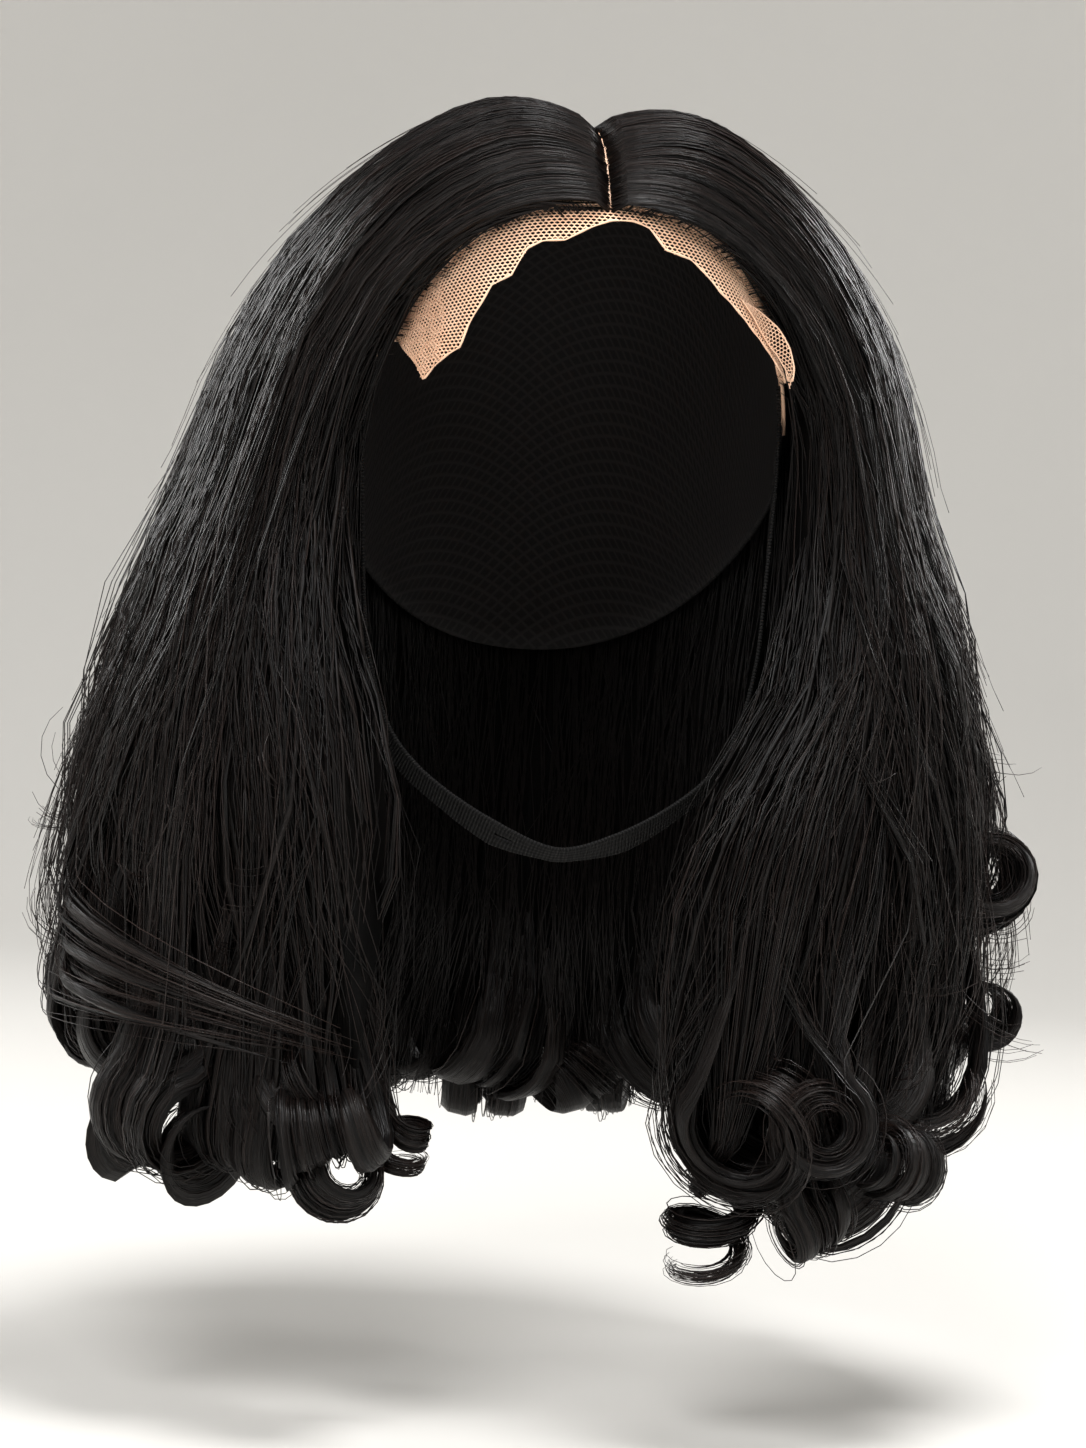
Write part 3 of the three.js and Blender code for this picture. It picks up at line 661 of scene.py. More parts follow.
# One clump of strands that ends in a curl; its first path is the middle, for the flat lock.
def curledClump(name, clump, count, rng):
    row, depth, frizz = clump["row"], clump["depth"], clump["frizz"]
    broad = isBroad(row)
    look = {**clumpLook, **broadClump} if broad else clumpLook
    drift = (rng.uniform(*look["drift"]), rng.uniform(*look["driftRate"]), rng.uniform(0, fullTurn))
    steps = max(strandLook["steps"], math.ceil(abs(row["sweep"]) / strandLook["stepAngle"]))
    along = np.linspace(0, 1, steps)[None, :]
    spread = lockFirst(0, rng.normal(0, 1, count))
    depths = lockFirst(depth - look["lockDepth"], depth + rng.normal(0, look["depth"], count))[:, 0]
    scatter = look["rootScatter"] * rng.normal(0, 1, count + 1)
    onEdge = clump["root"] > 0
    roots = np.maximum(clump["root"] + scatter, look["firstRoot"]) if onEdge else np.zeros(count + 1)
    upper = strandBody(name, clump["across"] + look["spread"] * spread[:, 0], depths, roots,
                       np.full(count + 1, clump["stop"]), clump["swing"], drift, rng)
    side, layer = clump["place"]
    lateral = (side + look["aside"] * spread) * row["wide"] * mix(look["wide"], look["tipWide"], along)
    layers = layer + look["layer"] * lockFirst(0, rng.normal(0, 1, count))
    radial = layers * row["thick"] * mix(1.0, look["tipThick"], along)
    if broad:
        radial = radial - look["sink"] * along ** 2
    ending = lockFirst(look["lockEnding"], rng.uniform(*look["ending"], count))
    loose = clump["loose"] * lockFirst(1, rng.normal(1, frizz, count))
    phase = lockFirst(0, rng.normal(0, look["turn"] * frizz, count))
    return intoRoll(upper, curlPoint(row, along * ending, lateral, radial, loose, phase), look["lead"])


planLook = {"swing": (0.3, 1.5), "swingGrows": (0.05, 0.3), "swingFades": (0.6, 1.0),
            "stop": (0.66, 0.74), "early": 0.12, "highCurl": -245, "ringSweep": 500, "aside": 0.85,
            "layer": 0.3, "layerLimit": 0.55, "loose": (0.8, 0.14), "ringLoose": (0.99, 0.012),
            "looseLimits": (0.42, 0.98), "hemLimits": (0.4, 0.97), "taper": 0.14, "curlSpread": 0.045,
            "curlScatter": 0.012, "lastAcross": 0.995, "hemSpread": 0.06, "flipDown": (0.64, 0.95),
            "nearFace": 0.2, "edgeWide": 0.03, "firstRoot": 0.004, "rootRun": 0.36}
# Kinds of clump: how deep they lie in the curtain, how wide their flat lock is and how far strands stray.
kindLook = {
    "curl": {"depth": (0.86, 1.02), "lockShare": 0.24, "frizz": 0.045, "ringFrizz": 0.02},
    "hem": {"depth": (0.8, 1.0), "lockWide": 2.6, "frizz": 0.05, "stop": (0.64, 0.74),
            "jitter": (0.25, 0.5)},
    "flip": {"depth": (0.92, 1.03), "lockWide": 0.0, "frizz": 0.22},
    "edge": {"depth": (0.15, 1.0), "lockWide": 1.8, "frizz": 0.05, "aside": (-0.8, 0.8), "loose": 0.88},
}


# Plan of all the clumps in a hair piece: set curls, hem rolls, short flips and the face edge.
def planClumps(name, comb, rng):
    look = planLook
    curl, hem, flip, edge = (kindLook[kind] for kind in ("curl", "hem", "flip", "edge"))
    clumps = []
    rolls = list(curls[name])

    def add(**clump):
        fade = 1 - smoothstep(clump["across"], *look["swingFades"])
        fade = smoothstep(clump["across"], *look["swingGrows"]) * fade
        swing = comb["swing"] * rng.uniform(*look["swing"]) * fade
        clumps.append({**clump, "swing": swing if clump["root"] == 0 else 0.0})

    def evenly(number, count):
        return 2 * (number + 0.5) / count - 1

    def layer():
        return float(np.clip(rng.normal(0, look["layer"]), -look["layerLimit"], look["layerLimit"]))

    for row in curls[name]:
        ring = isBroad(row) or abs(row["sweep"]) > look["ringSweep"]
        early = look["early"] if isBroad(row) or row["z"] > look["highCurl"] else 0
        for number in range(comb["curlClumps"]):
            side = evenly(number, comb["curlClumps"])
            across = row["across"] + look["curlSpread"] * side + rng.normal(0, look["curlScatter"])
            across = float(np.clip(across, 0.0, look["lastAcross"]))
            stop = rng.uniform(*look["stop"]) - early
            loose = rng.normal(*look["ringLoose" if ring else "loose"])
            loose = loose if ring else np.clip(loose, *look["looseLimits"])
            place = (look["aside"] * side, layer())
            add(row=row, across=across, depth=rng.uniform(*curl["depth"]), root=0.0, stop=stop, place=place,
                loose=loose, lockWide=curl["lockShare"] * row["wide"],
                frizz=curl["ringFrizz" if ring else "frizz"])
    for number in range(comb["hemRolls"]):
        middle = (number + hem["jitter"][0] + hem["jitter"][1] * rng.random()) / comb["hemRolls"]
        row = hemRoll(name, middle, rng)
        rolls.append(row)
        taper = rng.uniform(-look["taper"], look["taper"])
        for k in range(hemLook["clumps"]):
            side = evenly(k, hemLook["clumps"])
            across = float(np.clip(middle + look["hemSpread"] * side, 0, 1))
            place = (look["aside"] * side, layer())
            loose = float(np.clip(rng.normal(*look["loose"]) + taper * side, *look["hemLimits"]))
            add(row=row, across=across, depth=rng.uniform(*hem["depth"]), root=0.0,
                stop=rng.uniform(*hem["stop"]), place=place, loose=loose, lockWide=hem["lockWide"],
                frizz=hem["frizz"])
    for number in range(comb["looseClumps"]):
        across = (number + rng.random()) / comb["looseClumps"]
        down = rng.uniform(*look["flipDown"])
        row = looseFlip(name, across, down, rng)
        add(row=row, across=across, depth=rng.uniform(*flip["depth"]), root=0.0, stop=down - look["early"],
            place=(0, 0), loose=1.0, lockWide=flip["lockWide"], frizz=flip["frizz"])
    nearFace = [row for row in rolls if row["across"] < look["nearFace"] and not isBroad(row)]
    for number in range(comb["edgeClumps"]):
        across = rng.uniform(0.0, look["edgeWide"])
        root = look["rootRun"] * (number + rng.random()) / comb["edgeClumps"] + look["firstRoot"]
        row = nearFace[rng.integers(len(nearFace))]
        add(row=row, across=across, depth=rng.uniform(*edge["depth"]), root=root,
            stop=rng.uniform(*look["stop"]), place=(rng.uniform(*edge["aside"]), 0.0), loose=edge["loose"],
            lockWide=edge["lockWide"], frizz=edge["frizz"])
    return clumps, rolls


# Map of a lock in millimetres, shifted so that no two locks have the same streaks.
def streakMap(path, wide, sides, shift):
    edge = np.cos(np.arange(sides) * 2 * math.pi / sides)[None, :] * wide[:, None] + shift[0]
    return np.stack(np.broadcast_arrays(edge, runLengths(path)[:, None] + shift[1]), -1).reshape(-1, 2)


lockLook = {"sides": 3, "thick": 0.5, "rootWide": 0.15, "widens": 0.25, "narrows": 0.6, "tipWide": 0.9,
            "tipThick": 0.6, "mapShift": np.array([23.7, 61])}


# Flat lock along a clump's middle path, lying on the hair under it, with the map for its streaks.
def flatLock(middle, lockWide, number):
    look = lockLook
    run = np.linspace(0, 1, middle.shape[1])[None, :]
    narrowing = smoothstep(run, look["narrows"], 1.0)
    widening = mix(look["rootWide"], 1.0, smoothstep(run, 0, look["widens"]))
    wide = lockWide * widening * (1 - look["tipWide"] * narrowing)
    thick = look["thick"] * (1 - look["tipThick"] * narrowing)
    outWay = unit(middle[:, 1] - centre)
    firstWay = np.cross(unit(middle[:, 1] - middle[:, 0]), outWay)
    uv = streakMap(middle[0], wide[0], look["sides"], look["mapShift"] * number)
    return tubes(middle, wide, thick, look["sides"], firstWay), uv


coreLook = {"places": (-0.56, 0.0, 0.56), "sides": 6, "step": 3.0, "steps": 9, "lead": 7, "radius": 0.8,
            "inside": 0.7, "scatter": 0.09, "turn": 24, "ending": (0.62, 0.97), "depth": 0.72, "wide": 0.4,
            "thick": 0.42, "aside": 1.15, "tipAside": 0.5, "placeScatter": 0.12, "wander": 0.35,
            "leaves": np.array([[0.66, 0.7]]), "apart": 0.03, "fullFrom": 0.3, "thinsFrom": 0.5,
            "thins": 0.97, "least": 0.02, "mapShift": np.array([47.3, 83])}
broadCore = {"loose": 0.99, "aside": 2.0, "sink": 11.0, "early": 0.12, "lead": 14, "wide": 0.5,
             "thick": 0.6}


# One of the thick locks that fill a roll, from where it leaves the curtain to its tip.
def rollCore(name, row, place, number, rng):
    look, broad = coreLook, isBroad(row)
    arc = math.radians(abs(row["sweep"])) * look["radius"] * (row["big"] + row["small"]) / 2
    steps = max(look["steps"], math.ceil(arc / look["step"]))
    along = np.linspace(0, rng.uniform(*look["ending"]), steps)[None, :]
    radius = look["inside"] if place == 0 else look["radius"]
    loose = broadCore["loose"] if broad else radius + look["scatter"] * rng.normal()
    phase = 0.0 if broad else rng.normal(0, look["turn"])
    spread = mix(broadCore["aside"] if broad else look["aside"], look["tipAside"], along)
    aside = (place + look["placeScatter"] * rng.normal()) * spread + look["wander"] * rng.normal() * along
    sink = -broadCore["sink"] * along ** 2 if broad else np.zeros_like(along)
    roll = curlPoint(row, along, aside * row["wide"], sink, loose, phase)
    across = np.clip(row["across"] + look["apart"] * place, 0, 1)
    leaves = look["leaves"] - (broadCore["early"] if broad else 0)
    fall = hairPoint(name, across, look["depth"], leaves, hemHeight(name, across))
    path = intoRoll(fall, roll, broadCore["lead"] if broad else look["lead"])[:, ::-1]
    run = np.linspace(1, 0, path.shape[1])[None, :]
    fine = smoothstep(run, 0, look["fullFrom"])
    fine = fine * (1 - look["thins"] * smoothstep(run, look["thinsFrom"], 1.0)) + look["least"]
    wide = look["wide"] * row["wide"] * fine * (broadCore["wide"] if broad else 1.0)
    thick = look["thick"] * row["thick"] * fine * (broadCore["thick"] if broad else 1.0)
    uv = streakMap(path[0], wide[0], look["sides"], look["mapShift"] * number)
    return tubes(path, wide, thick, look["sides"], curlWays(row)[1][None]), uv


# Widths of strands that thin toward the tips.
def strandWidth(run):
    return mix(strandLook["width"], strandLook["tipWidth"], run ** 3)


innerLook = {"steps": 11, "depth": (0.0, 0.1), "stop": (0.88, 1.07), "drift": (1.0, 1.0, 0.0), "wide": 0.6,
             "tone": 0.08}


# Strands on the hollow side, which hang straight to uneven tips.
def innerStrands(name, count, rng):
    look = innerLook
    share = np.linspace(0, 1, look["steps"])
    points = strandBody(name, rng.random(count), rng.uniform(*look["depth"], count), np.zeros(count),
                        rng.uniform(*look["stop"], count), 0.0, look["drift"], rng, share)
    half = np.broadcast_to(strandWidth(share)[None, :], points.shape[:2]) * look["wide"]
    made = tubes(points, half, half, strandLook["sides"])
    return made, np.full(len(made[0]), look["tone"])


strayLook = {"steps": 11, "lowest": 0.8, "crowding": 0.6, "long": 0.2, "depth": 0.98, "lift": (1, 8),
             "aside": 8, "size": (0.5, 3.5), "rate": (3, 8), "width": 0.22, "tone": 0.42}


# Stray hairs that lift off the outside, most of them low down, painted a lighter brown for light shining
# through them.
def strayHairs(name, count, rng):
    look = strayLook
    begin = look["lowest"] * rng.random(count) ** look["crowding"]
    share = np.linspace(0, 1, look["steps"])
    down = begin[:, None] + look["long"] * share[None, :]
    across = rng.random(count)
    points = hairPoint(name, across[:, None], look["depth"], down, hemHeight(name, across)[:, None])
    out, along = sideways(points)
    lift = rng.uniform(*look["lift"], count)[:, None] * share[None, :] ** 1.5
    aside = rng.normal(0, look["aside"], count)[:, None] * share[None, :] ** 2
    points = points + out * lift[..., None] + along * aside[..., None]
    points = swayed(points, down, rng.uniform(*look["size"], count)[:, None],
                    rng.uniform(*look["rate"], count)[:, None], rng.uniform(0, fullTurn, count)[:, None])
    made = threads(points, look["width"], strandLook["sides"])
    # their lighter tone is painted light shining through the stray hairs
    return made, np.full(len(made[0]), look["tone"])


# Tubes and tones for the strands of one clump.
def clumpStrands(paths, rng):
    look = strandLook
    count = len(paths)
    run = np.linspace(0, 1, paths.shape[1])[None, :]
    half = rng.uniform(*look["uneven"], count)[:, None] * strandWidth(run) / 2
    half = half * mix(look["rootWidth"], 1.0, smoothstep(run, 0, look["rootRun"]))
    tone = rng.normal(*look["tone"]) + rng.normal(0, look["toneScatter"], count)
    tone = np.clip(tone, *look["toneLimits"])[:, None]
    # painted light: lighter brown toward the tips, for light shining through the ends
    tone = tone + look["tipPaintedLight"] * smoothstep(run, look["tipFrom"], 1.0)
    return tubes(paths, half, half, look["sides"]), np.repeat(tone.ravel(), look["sides"])


def combHair(name):
    comb = combLook[name]
    rng = np.random.default_rng(comb["seed"])
    clumps, rolls = planClumps(name, comb, rng)
    hairMass(name)
    cores = [(row, place) for row in rolls for place in coreLook["places"]]
    thickLocks = [rollCore(name, *core, number, rng) for number, core in enumerate(cores)]
    strands = [[] for _ in range(comb["pieces"])]
    for number, clump in enumerate(clumps):
        paths = curledClump(name, clump, comb["strands"], rng)
        if clump["lockWide"] > 0 and number % 2 == 0:
            thickLocks.append(flatLock(paths[:1], clump["lockWide"], number))
        strands[number % comb["pieces"]].append(clumpStrands(paths[1:], rng))
    strands[0].append(innerStrands(name, comb["inner"], rng))
    strands[-1].append(strayHairs(name, comb["stray"], rng))
    meshes, maps = zip(*thickLocks)
    makePiece(name + "_locks", *joined(meshes), hairLock, name, "hair", uv=np.concatenate(maps))
    for number, made in enumerate(strands, 1):
        meshes, tones = zip(*made)
        makePiece(f"{name}_strands_{number}", *joined(meshes), hairStrand, name, "hair",
                  tone=np.clip(np.concatenate(tones), 0, 1))


for name in ("hair_left", "hair_right", "hair_back"):
    combHair(name)
print("hair combed")

laid = {"ear": 82, "up": 95}  # millimetres for each radian round the head, when cloth is laid flat
earStations = np.linspace(-wall["earAngle"], wall["earAngle"], wall["earSteps"])


# Place of ear and up angles in a cloth that is laid flat, and the way back.
def laidFlat(ear, up):
    ear, up = np.radians(ear), np.radians(up)
    return np.stack(np.broadcast_arrays(ear * laid["ear"], up * laid["up"] * np.cos(ear)), -1)


def fromFlat(flat):
    ear = np.degrees(flat[..., 0] / laid["ear"])
    return ear, np.degrees(flat[..., 1] / (laid["up"] * np.cos(np.radians(ear))))


# Closed wall over the head between two angles for each ear station.
def headWall(low, high, steps, thick):
    up = mix(low[:, None], high[:, None], np.linspace(0, 1, steps)[None, :])
    way = overHead(np.broadcast_to(earStations[:, None], up.shape), up)
    outer = onHead(way, np.full(up.shape, thick))
    inner = onHead(way, np.zeros(up.shape))
    rings = np.concatenate([outer, inner[:, ::-1]], 1)
    cells, caps = wallFaces(*rings.shape[:2])
    faces = np.concatenate([cells.reshape(-1, 4), caps])[:, [0, 3, 2, 1]]
    uv = bothFaces(laidFlat(earStations[:, None], up)).reshape(-1, 2)
    return rings.reshape(-1, 3), [faces], uv


netLook = {"mesh": 3, "turn": 45, "stops": ((0.08, "#201e1e"), (0.2, "#121111")),
           "bump": {"Strength": 0.7, "Distance": 0.0006, "invert": True},
           "surface": {"Roughness": 0.82, "Specular IOR Level": 0.25}}


# Cap of knitted stretch net: matt black, with a fine open mesh that gives it a dull grain.
def stretchNet():
    # mesh drawn at 3 mm, coarser than the real 1 mm so that it shows
    size, turn = 1 / netLook["mesh"], math.radians(netLook["turn"])
    cells = {"voronoi_dimensions": "2D", "feature": "DISTANCE_TO_EDGE", "Scale": 1.0, "Randomness": 0.0}
    chain = (onFlow, ("ShaderNodeMapping", {"Scale": (size, size, 1), "Rotation": (0, 0, turn)}, "Vector"),
             ("ShaderNodeTexVoronoi", cells, "Distance"))
    return makeMaterial("knitted black stretch net", netLook["surface"], chain, netLook["stops"],
                        netLook["bump"])


capLook = {"napeMiddle": 216, "napeEnds": 204, "steps": 36}


def stretchCap():
    seam = wall["seamAngle"] + np.degrees(wall["gap"] / (laid["up"] * np.cos(np.radians(earStations))))
    nape = mix(capLook["napeMiddle"], capLook["napeEnds"], (earStations / wall["earAngle"]) ** 2)
    points, faceSets, uv = headWall(seam, nape, capLook["steps"], wall["cap"])
    net = makePiece("cap_net", points, faceSets, stretchNet(), "cap", "net", uv=uv)


stretchCap()

# Torn edge of the lace: ear angle, angle up from the face, and how far it stands off the head.
laceEdge = np.array((
    (-78, 46, 0), (-71, 45, 0), (-64, 43, 0), (-57, 42, 0), (-50, 36, 0.3), (-45, 26, 0.8), (-41, 20, 1.6),
    (-38, 14, 2.6), (-35, 17, 2.0), (-32, 19, 1.2), (-29, 20, 0.8), (-27, 25, 0.4), (-24, 29, 0.3),
    (-22, 32, 0.3), (-18, 33, 0.3), (-15, 38, 0.3), (-12, 39, 0.3), (-8, 38.6, 0.3), (-4, 41, 0.3),
    (0, 43, 0.3), (4, 43.5, 0.3), (7, 42.5, 0.3), (10, 38.5, 0.3), (15, 38.5, 0.3), (18, 37, 0.4),
    (22, 34.5, 0.6), (26, 33, 1.0), (31, 30.5, 2.0), (36, 28.5, 3.0), (40, 26.5, 4.0), (43, 25, 4.8),
    (46, 25, 4.2), (48, 30, 0.8), (53, 36, 0.3), (58, 40, 0), (64, 43, 0), (71, 45, 0), (78, 46, 0),
))
laceLook = {"pitch": 1.4, "thread": 0.56, "sides": 3, "under": 5.0, "lift": 0.16, "netEar": 60,
            "netRange": (10, 110), "bandBehind": 2.0, "bandSteps": 24, "foldThread": 0.3,
            "fold": (-46, -33), "foldHigh": 40.0, "foldTurn": 14, "foldOff": 0.9, "edgeThread": 0.8,
            "edgeEar": 52, "edgeSteps": 160, "edgeSides": 5, "edgeUneven": 0.25, "edgeRate": 0.9,
            "hairlineSteps": 80, "cut": (0.22, 0.11), "cutArea": 0.0165}


def edgeUp(ear):
    return np.interp(ear, laceEdge[:, 0], laceEdge[:, 1])


# Angle up from the face where the hair starts, for an ear angle.
def hairline(ears):
    turn = np.linspace(0, 1, laceLook["hairlineSteps"])
    way = combed(1, np.zeros_like(turn), turn)
    ear = np.degrees(np.arcsin(way[:, 0]))
    up = np.degrees(np.arctan2(way[:, 2], -way[:, 1]))
    return np.interp(np.abs(ears), ear, up)


nylonLook = {"patches": 90.0, "stops": ((0, "#eab995"), (1, "#f6d2b6")),
             "surface": {"Roughness": 0.55, "IOR": 1.53}}


# Welded net lace in pinkish tan nylon: fine threads with a faint gloss, light through the holes.
def netLace():
    # patches of lighter tan about 11 mm across, 90 to a metre
    chain = (("ShaderNodeTexCoord", {}, "Object"),
             ("ShaderNodeTexNoise", {"Scale": nylonLook["patches"], "Detail": 2.0}, "Fac"))
    return makeMaterial("tan nylon net lace", nylonLook["surface"], chain, nylonLook["stops"])


# Edges of a honeycomb over a flat rectangle.
def honeycomb(wide, low, high, pitch):
    side = pitch / math.sqrt(3)
    edges = []
    for rowNumber in range(int((high - low) / (1.5 * side)) + 2):
        for column in range(int(2 * wide / pitch) + 2):
            x = -wide + pitch * (column + 0.5 * (rowNumber % 2))
            y = low + 1.5 * side * rowNumber
            edges.append(((x, y), (x, y + side)))
            edges.append(((x, y), (x + pitch / 2, y - side / 2)))
            edges.append(((x, y), (x - pitch / 2, y - side / 2)))
    return np.array(edges)


# Place over the head of a point in the flat lace, which lifts off toward its edge.
def lacePoint(flat, off=0.0):
    ear, up = fromFlat(flat)
    edge = edgeUp(ear)
    lift = np.interp(ear, laceEdge[:, 0], laceEdge[:, 2])
    share = (up - edge) / np.maximum(wall["seamAngle"] - edge, 1)
    raised = lift * (1 - smoothstep(share, 0, laceLook["lift"]))
    return onHead(overHead(ear, up), wall["lace"] / 2 + off + raised)


# Free end of the lace at the right temple: middle line, half width and twist.
stripLine = np.array((
    (42.0, -63.5, -52.5, 2.2, -80), (47.5, -62.5, -57.0, 2.7, -50), (52.5, -61.5, -62.0, 2.8, -15),
    (56.5, -61.0, -67.0, 2.2, 25), (59.0, -60.5, -72.0, 1.9, 60), (59.6, -60.0, -78.5, 2.6, 100),
))
stripLook = {"pitch": 1.2, "spare": 1.2, "thread": 0.45, "sides": 3, "hemThread": 0.54, "hemSides": 4,
             "hemSteps": 40, "fray": 0.18, "seed": 3}


def freeStrip():
    places, halfWide, twist = stripLine[:, :3], stripLine[:, 3], stripLine[:, 4]
    lengths = runLengths(places)
    rng = np.random.default_rng(stripLook["seed"])
    lines = honeycomb(stripLook["spare"] * halfWide.max(), 0, lengths[-1], stripLook["pitch"])
    middle = lines.mean(1)
    inside = np.abs(middle[:, 0]) < np.interp(middle[:, 1], lengths, halfWide)
    inside &= middle[:, 1] < lengths[-1] * (1 - stripLook["fray"] * rng.random(len(middle)))

    def onLine(distance):
        return np.stack([np.interp(distance, lengths, places[:, k]) for k in range(3)], -1)

    def stripPoint(flat):
        distance = np.clip(flat[..., 1], 0, lengths[-1])
        tangent = unit(onLine(distance + 1) - onLine(distance - 1))
        level = unit(np.cross(tangent, np.array([0.0, -1.0, 0.0])))
        turn = np.radians(np.interp(distance, lengths, twist))[..., None]
        way = level * np.cos(turn) + np.cross(tangent, level) * np.sin(turn)
        return onLine(distance) + way * flat[..., :1]

    down = np.linspace(0, lengths[-1] * (1 - stripLook["fray"] / 2), stripLook["hemSteps"])
    wide = np.interp(down, lengths, halfWide)
    hems = stripPoint(np.stack([np.stack([wide, down], -1), np.stack([-wide, down], -1)]))
    return [threads(stripPoint(lines[inside]), stripLook["thread"], stripLook["sides"]),
            threads(hems, stripLook["hemThread"], stripLook["hemSides"])]


# Closed band under the hair, open net ahead of it, a thread along the cut edge and a fold at the temple.
def laceFront():
    look = laceLook
    material = netLace()
    start = np.maximum(hairline(earStations) + look["bandBehind"], edgeUp(earStations))
    seam = np.full_like(earStations, wall["seamAngle"])
    points, faceSets, _ = headWall(start, seam, look["bandSteps"], wall["lace"])
    band = makePiece("lace_front_band", points, faceSets, material, "lace_front", "lace")
    edges = honeycomb(laid["ear"], *look["netRange"], look["pitch"])

    def ahead(lines):
        ear, up = fromFlat(lines.mean(1))
        behind = hairline(ear) + look["under"]
        return ear, (np.abs(ear) < look["netEar"]) & (up > edgeUp(ear)) & (up < behind)

    parts = [threads(lacePoint(edges[ahead(edges)[1]]), look["thread"], look["sides"])]
    turn = math.radians(look["foldTurn"])
    turned = np.array([[math.cos(turn), math.sin(turn)], [-math.sin(turn), math.cos(turn)]])
    middle = np.array([math.radians(sum(look["fold"]) / 2) * laid["ear"], look["foldHigh"]])
    second = (edges - middle) @ turned + middle
    ear, inside = ahead(second)
    inside &= (ear > look["fold"][0]) & (ear < look["fold"][1])
    parts.append(threads(lacePoint(second[inside], look["foldOff"]), look["foldThread"], look["sides"]))
    edgeEars = np.linspace(-look["edgeEar"], look["edgeEar"], look["edgeSteps"])
    hem = lacePoint(laidFlat(edgeEars, edgeUp(edgeEars)))[None]
    wave = look["edgeUneven"] * np.sin(look["edgeRate"] * np.arange(look["edgeSteps"]))
    half = look["edgeThread"] / 2 * (1 - look["edgeUneven"] + wave)[None]
    parts.append(tubes(hem, half, half, look["edgeSides"]))
    net = makePiece("lace_front_net", *joined(parts + freeStrip()), material, "lace_front", "lace")


laceFront()

# Strap centre line from the chin to the ear: place, width, whether it is lapped under the lace, and lean.
strapLine = np.array((
    (0, -53, -223.5, 8, 0, 32), (6, -53, -222.6, 8, 0, 32), (14, -52, -220.4, 11, 0, 34),
    (20, -51.2, -218.2, 12, 0, 36), (25, -49.8, -215.6, 11, 0, 36), (36, -45.5, -208.6, 9, 0, 36),
    (45.5, -40.5, -201.2, 9, 0, 34), (53, -36, -192.4, 9, 0, 32), (59, -30, -178, 9, 0, 28),
    (62.4, -25, -162, 9, 0, 22), (64, -19, -140, 9, 0, 14), (65, -15, -118, 9, 0, 6),
    (66, -12, -98, 9, 1, 0), (66, -12, -86, 9, 1, 0), (66, -12, -74, 9, 1, 0),
))
strapLook = {"thick": 1.2, "stations": 110, "ribs": 5, "ribHigh": 0.18, "facePoints": 21, "edgeRound": 0.12,
             "edgeReach": 1.04, "slotX": -17, "slotLong": 6.0, "slotClear": 0.6, "slotColumns": (8, 12),
             "slotSections": 5, "faceMiddle": np.array([0, -30, -150])}
# rows of knitting 1.1 mm apart, since a wave turns 20 radians a millimetre at scale 1
elasticLook = {"knitScale": 0.285, "stops": ((0, "#030303"), (1, "#151414")),
               "bump": {"Strength": 1.0, "Distance": 0.0006},
               "surface": {"Roughness": 0.7, "Specular IOR Level": 0.25}}


# Knitted rubber elastic: matt black, with cords along it and fine rows of knitting across.
def knittedElastic():
    look = elasticLook
    rows = {"wave_type": "BANDS", "bands_direction": "Y", "Scale": look["knitScale"]}
    chain = (onFlow, ("ShaderNodeTexWave", rows, "Fac"))
    return makeMaterial("knitted black elastic", look["surface"], chain, look["stops"], look["bump"])


# The whole strap's line, mirrored from its half, with the lapped ends laid under the lace.
def strapRoute():
    mirrored = strapLine * np.array([-1, 1, 1, 1, 1, 1])
    line = np.concatenate([mirrored[:0:-1], strapLine])
    lapped = line[:, 4] > 0
    sunk = -(wall["gap"] + strapLook["thick"] / 2)
    line[lapped, :3] = onHead(unit(line[lapped, :3] - centre), np.full(lapped.sum(), sunk))
    return line


# Distances along the strap for its sections, closer in the slot, and the slot's first and last section.
def strapStations(line, lengths):
    slotAt = np.interp(strapLook["slotX"], line[:, 0], lengths)
    inSlot = slotAt + strapLook["slotLong"] * np.linspace(-0.5, 0.5, strapLook["slotSections"])
    even = np.linspace(0, lengths[-1], strapLook["stations"])
    clear = np.abs(even - slotAt) > strapLook["slotLong"] * strapLook["slotClear"]
    stations = np.sort(np.concatenate([even[clear], inSlot]))
    return stations, *(int(np.argmin(np.abs(stations - end))) for end in (inSlot[0], inSlot[-1]))


def strapPath(places, lengths, stations):
    k = np.clip(np.searchsorted(lengths, stations, side="right") - 1, 0, len(lengths) - 2)
    gap = (lengths[k + 1] - lengths[k])[:, None]
    slopes = np.gradient(places, lengths, axis=0)
    return hermite((stations - lengths[k])[:, None] / gap, places[k], slopes[k] * gap, places[k + 1],
                   slopes[k + 1] * gap)


# Way across the strap at each section: flat on the head at its ends, and elsewhere leaning so that its
# face turns a little to the front.
def strapWide(path, tangent, nearEnd, lean):
    wideWay = unit(np.array([[0.0, 1.0, 0.0]]) - tangent * tangent[:, 1:2])
    flat = unit(np.cross(unit(path - centre), tangent))
    flat = flat * np.sign(dot(flat, wideWay))
    wideWay = unit(mix(wideWay, flat, nearEnd[:, None]))
    away = np.cross(tangent, wideWay)
    away = away * np.sign(dot(away, path - strapLook["faceMiddle"]))
    lean = np.radians(lean)[:, None]
    return wideWay * np.cos(lean) + away * np.sin(lean)


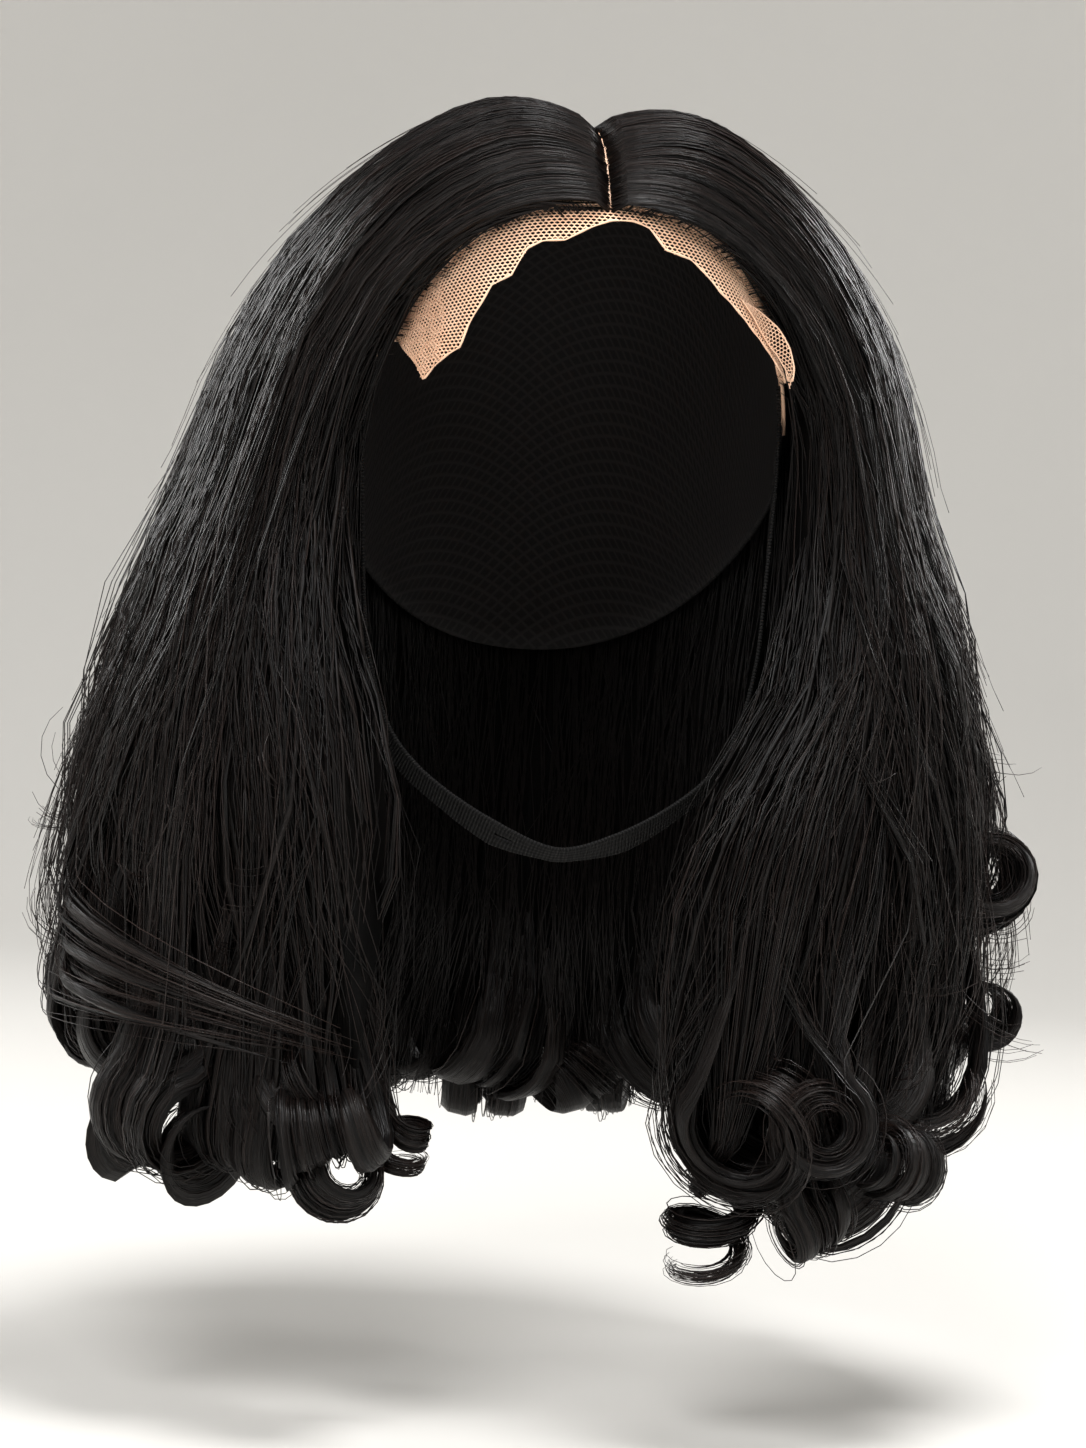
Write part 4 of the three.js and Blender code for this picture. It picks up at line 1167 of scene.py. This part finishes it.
# Faces of the strap with its slot: cells left out of both faces, and four walls through the thickness.
def slottedFaces(rows, sides, first, last):
    cells, caps = wallFaces(rows, sides)
    low, high = strapLook["slotColumns"]
    slot = np.zeros(cells.shape[:2], dtype=bool)
    slot[first:last, low:high] = True
    slot[first:last, sides - 1 - high:sides - 1 - low] = True

    def wallCell(row, column, nextRow, nextColumn):
        top, nextTop = row * sides + column, nextRow * sides + nextColumn
        under, nextUnder = (row + 1) * sides - 1 - column, (nextRow + 1) * sides - 1 - nextColumn
        return [top, nextTop, nextUnder, under]

    walls = []
    for row in range(first, last):
        walls.append(wallCell(row + 1, low, row, low))
        walls.append(wallCell(row, high, row + 1, high))
    for column in range(low, high):
        walls.append(wallCell(first, column, first, column + 1))
        walls.append(wallCell(last, column + 1, last, column))
    return np.concatenate([cells[~slot], np.array(walls), caps])


def chinStrap():
    line = strapRoute()
    lengths = runLengths(line[:, :3])
    stations, first, last = strapStations(line, lengths)
    width, nearEnd, lean = (np.interp(stations, lengths, line[:, k]) for k in (3, 4, 5))
    path = strapPath(line[:, :3], lengths, stations)
    tangent = unit(np.gradient(path, axis=0))
    wideWay = strapWide(path, tangent, nearEnd, lean)
    across = np.linspace(-1, 1, strapLook["facePoints"])
    ribs = np.abs(np.sin((across + 1) / 2 * math.pi * strapLook["ribs"])) - 0.5
    rounded = np.minimum(1, (strapLook["edgeReach"] - np.abs(across)) / strapLook["edgeRound"]) ** 0.5
    high = (strapLook["thick"] / 2 + strapLook["ribHigh"] * ribs) * rounded
    aside = across[None, :] * width[:, None] / 2
    face = path[:, None] + wideWay[:, None] * aside[..., None]
    rise = np.cross(tangent, wideWay)[:, None] * high[None, :, None]
    rings = np.concatenate([face + rise, (face - rise)[:, ::-1]], 1)
    flow = np.stack(np.broadcast_arrays(aside, stations[:, None]), -1)
    makePiece("chin_strap_elastic", rings.reshape(-1, 3), [slottedFaces(*rings.shape[:2], first, last)],
              knittedElastic(), "chin_strap", "elastic", uv=bothFaces(flow).reshape(-1, 2))


chinStrap()
print("cap, lace and strap made")

# Plain pale floor that curves up all round, under soft studio lamps.
stageLook = {"floor": -0.40, "hub": 0.001, "radius": 2.2, "bend": 0.9, "bendSteps": 12, "high": 2.2,
             "corners": 96, "colour": "#c9c7c3", "roughness": 0.9}


def paleSweep():
    look = stageLook
    profile = [(look["hub"], look["floor"])]
    for step in range(look["bendSteps"] + 1):
        angle = math.radians(90 * step / look["bendSteps"])
        profile.append((look["radius"] - look["bend"] + look["bend"] * math.sin(angle),
                        look["floor"] + look["bend"] * (1 - math.cos(angle))))
    profile.append((look["radius"], look["high"]))
    count = look["corners"]
    turns = [2 * math.pi * k / count for k in range(count)]
    points = [(reach * math.cos(turn), reach * math.sin(turn), z) for reach, z in profile for turn in turns]
    faces = [(ring * count + k, ring * count + (k + 1) % count, (ring + 1) * count + (k + 1) % count,
              (ring + 1) * count + k) for ring in range(len(profile) - 1) for k in range(count)]
    faces.append(tuple(reversed(range(count))))
    mesh = bpy.data.meshes.new("pale_sweep")
    mesh.from_pydata(points, [], faces)
    mesh.shade_smooth()
    paper = {"Base Color": linear(look["colour"]), "Roughness": look["roughness"]}
    mesh.materials.append(makeMaterial("matt pale paper", paper))
    sweep = bpy.data.objects.new("pale_sweep", mesh)
    bpy.context.scene.collection.objects.link(sweep)


lamps = (
    {"name": "keyLamp", "place": (-0.55, -1.1, 1.1), "aim": (0, 0, -0.12), "size": 0.8, "watts": 24},
    {"name": "fillLamp", "place": (1.1, -1.2, 0.35), "aim": (0, 0, -0.2), "size": 0.9, "watts": 6},
    {"name": "lowLamp", "place": (-1.1, -1.1, 0.0), "aim": (-0.08, 0, -0.25), "size": 0.5, "watts": 3.5},
    {"name": "topLamp", "place": (0.22, -0.25, 1.3), "aim": (0, 0, 0), "size": 0.6, "watts": 29},
    {"name": "leftRim", "place": (-1.0, 0.7, 0.4), "aim": (0, 0, -0.2), "size": 0.6, "watts": 8},
    {"name": "rightRim", "place": (1.0, 0.7, 0.4), "aim": (0, 0, -0.2), "size": 0.6, "watts": 8},
)
roomLook = {"colour": "#e9e8e6", "strength": 0.14}


def placeLamps():
    for lamp in lamps:
        data = bpy.data.lights.new(lamp["name"], "AREA")
        data.shape = "DISK"
        data.size = lamp["size"]
        data.energy = lamp["watts"]
        light = bpy.data.objects.new(lamp["name"], data)
        light.location = lamp["place"]
        heading = Vector(lamp["aim"]) - Vector(lamp["place"])
        light.rotation_euler = heading.to_track_quat("-Z", "Y").to_euler()
        bpy.context.scene.collection.objects.link(light)
    world = bpy.data.worlds.new("paleRoom")
    world.use_nodes = True
    sky = world.node_tree.nodes["Background"]
    sky.inputs["Color"].default_value = linear(roomLook["colour"])
    sky.inputs["Strength"].default_value = roomLook["strength"]
    bpy.context.scene.world = world
    bpy.context.scene.view_settings.view_transform = "Standard"


paleSweep()
placeLamps()
print("stage lit")
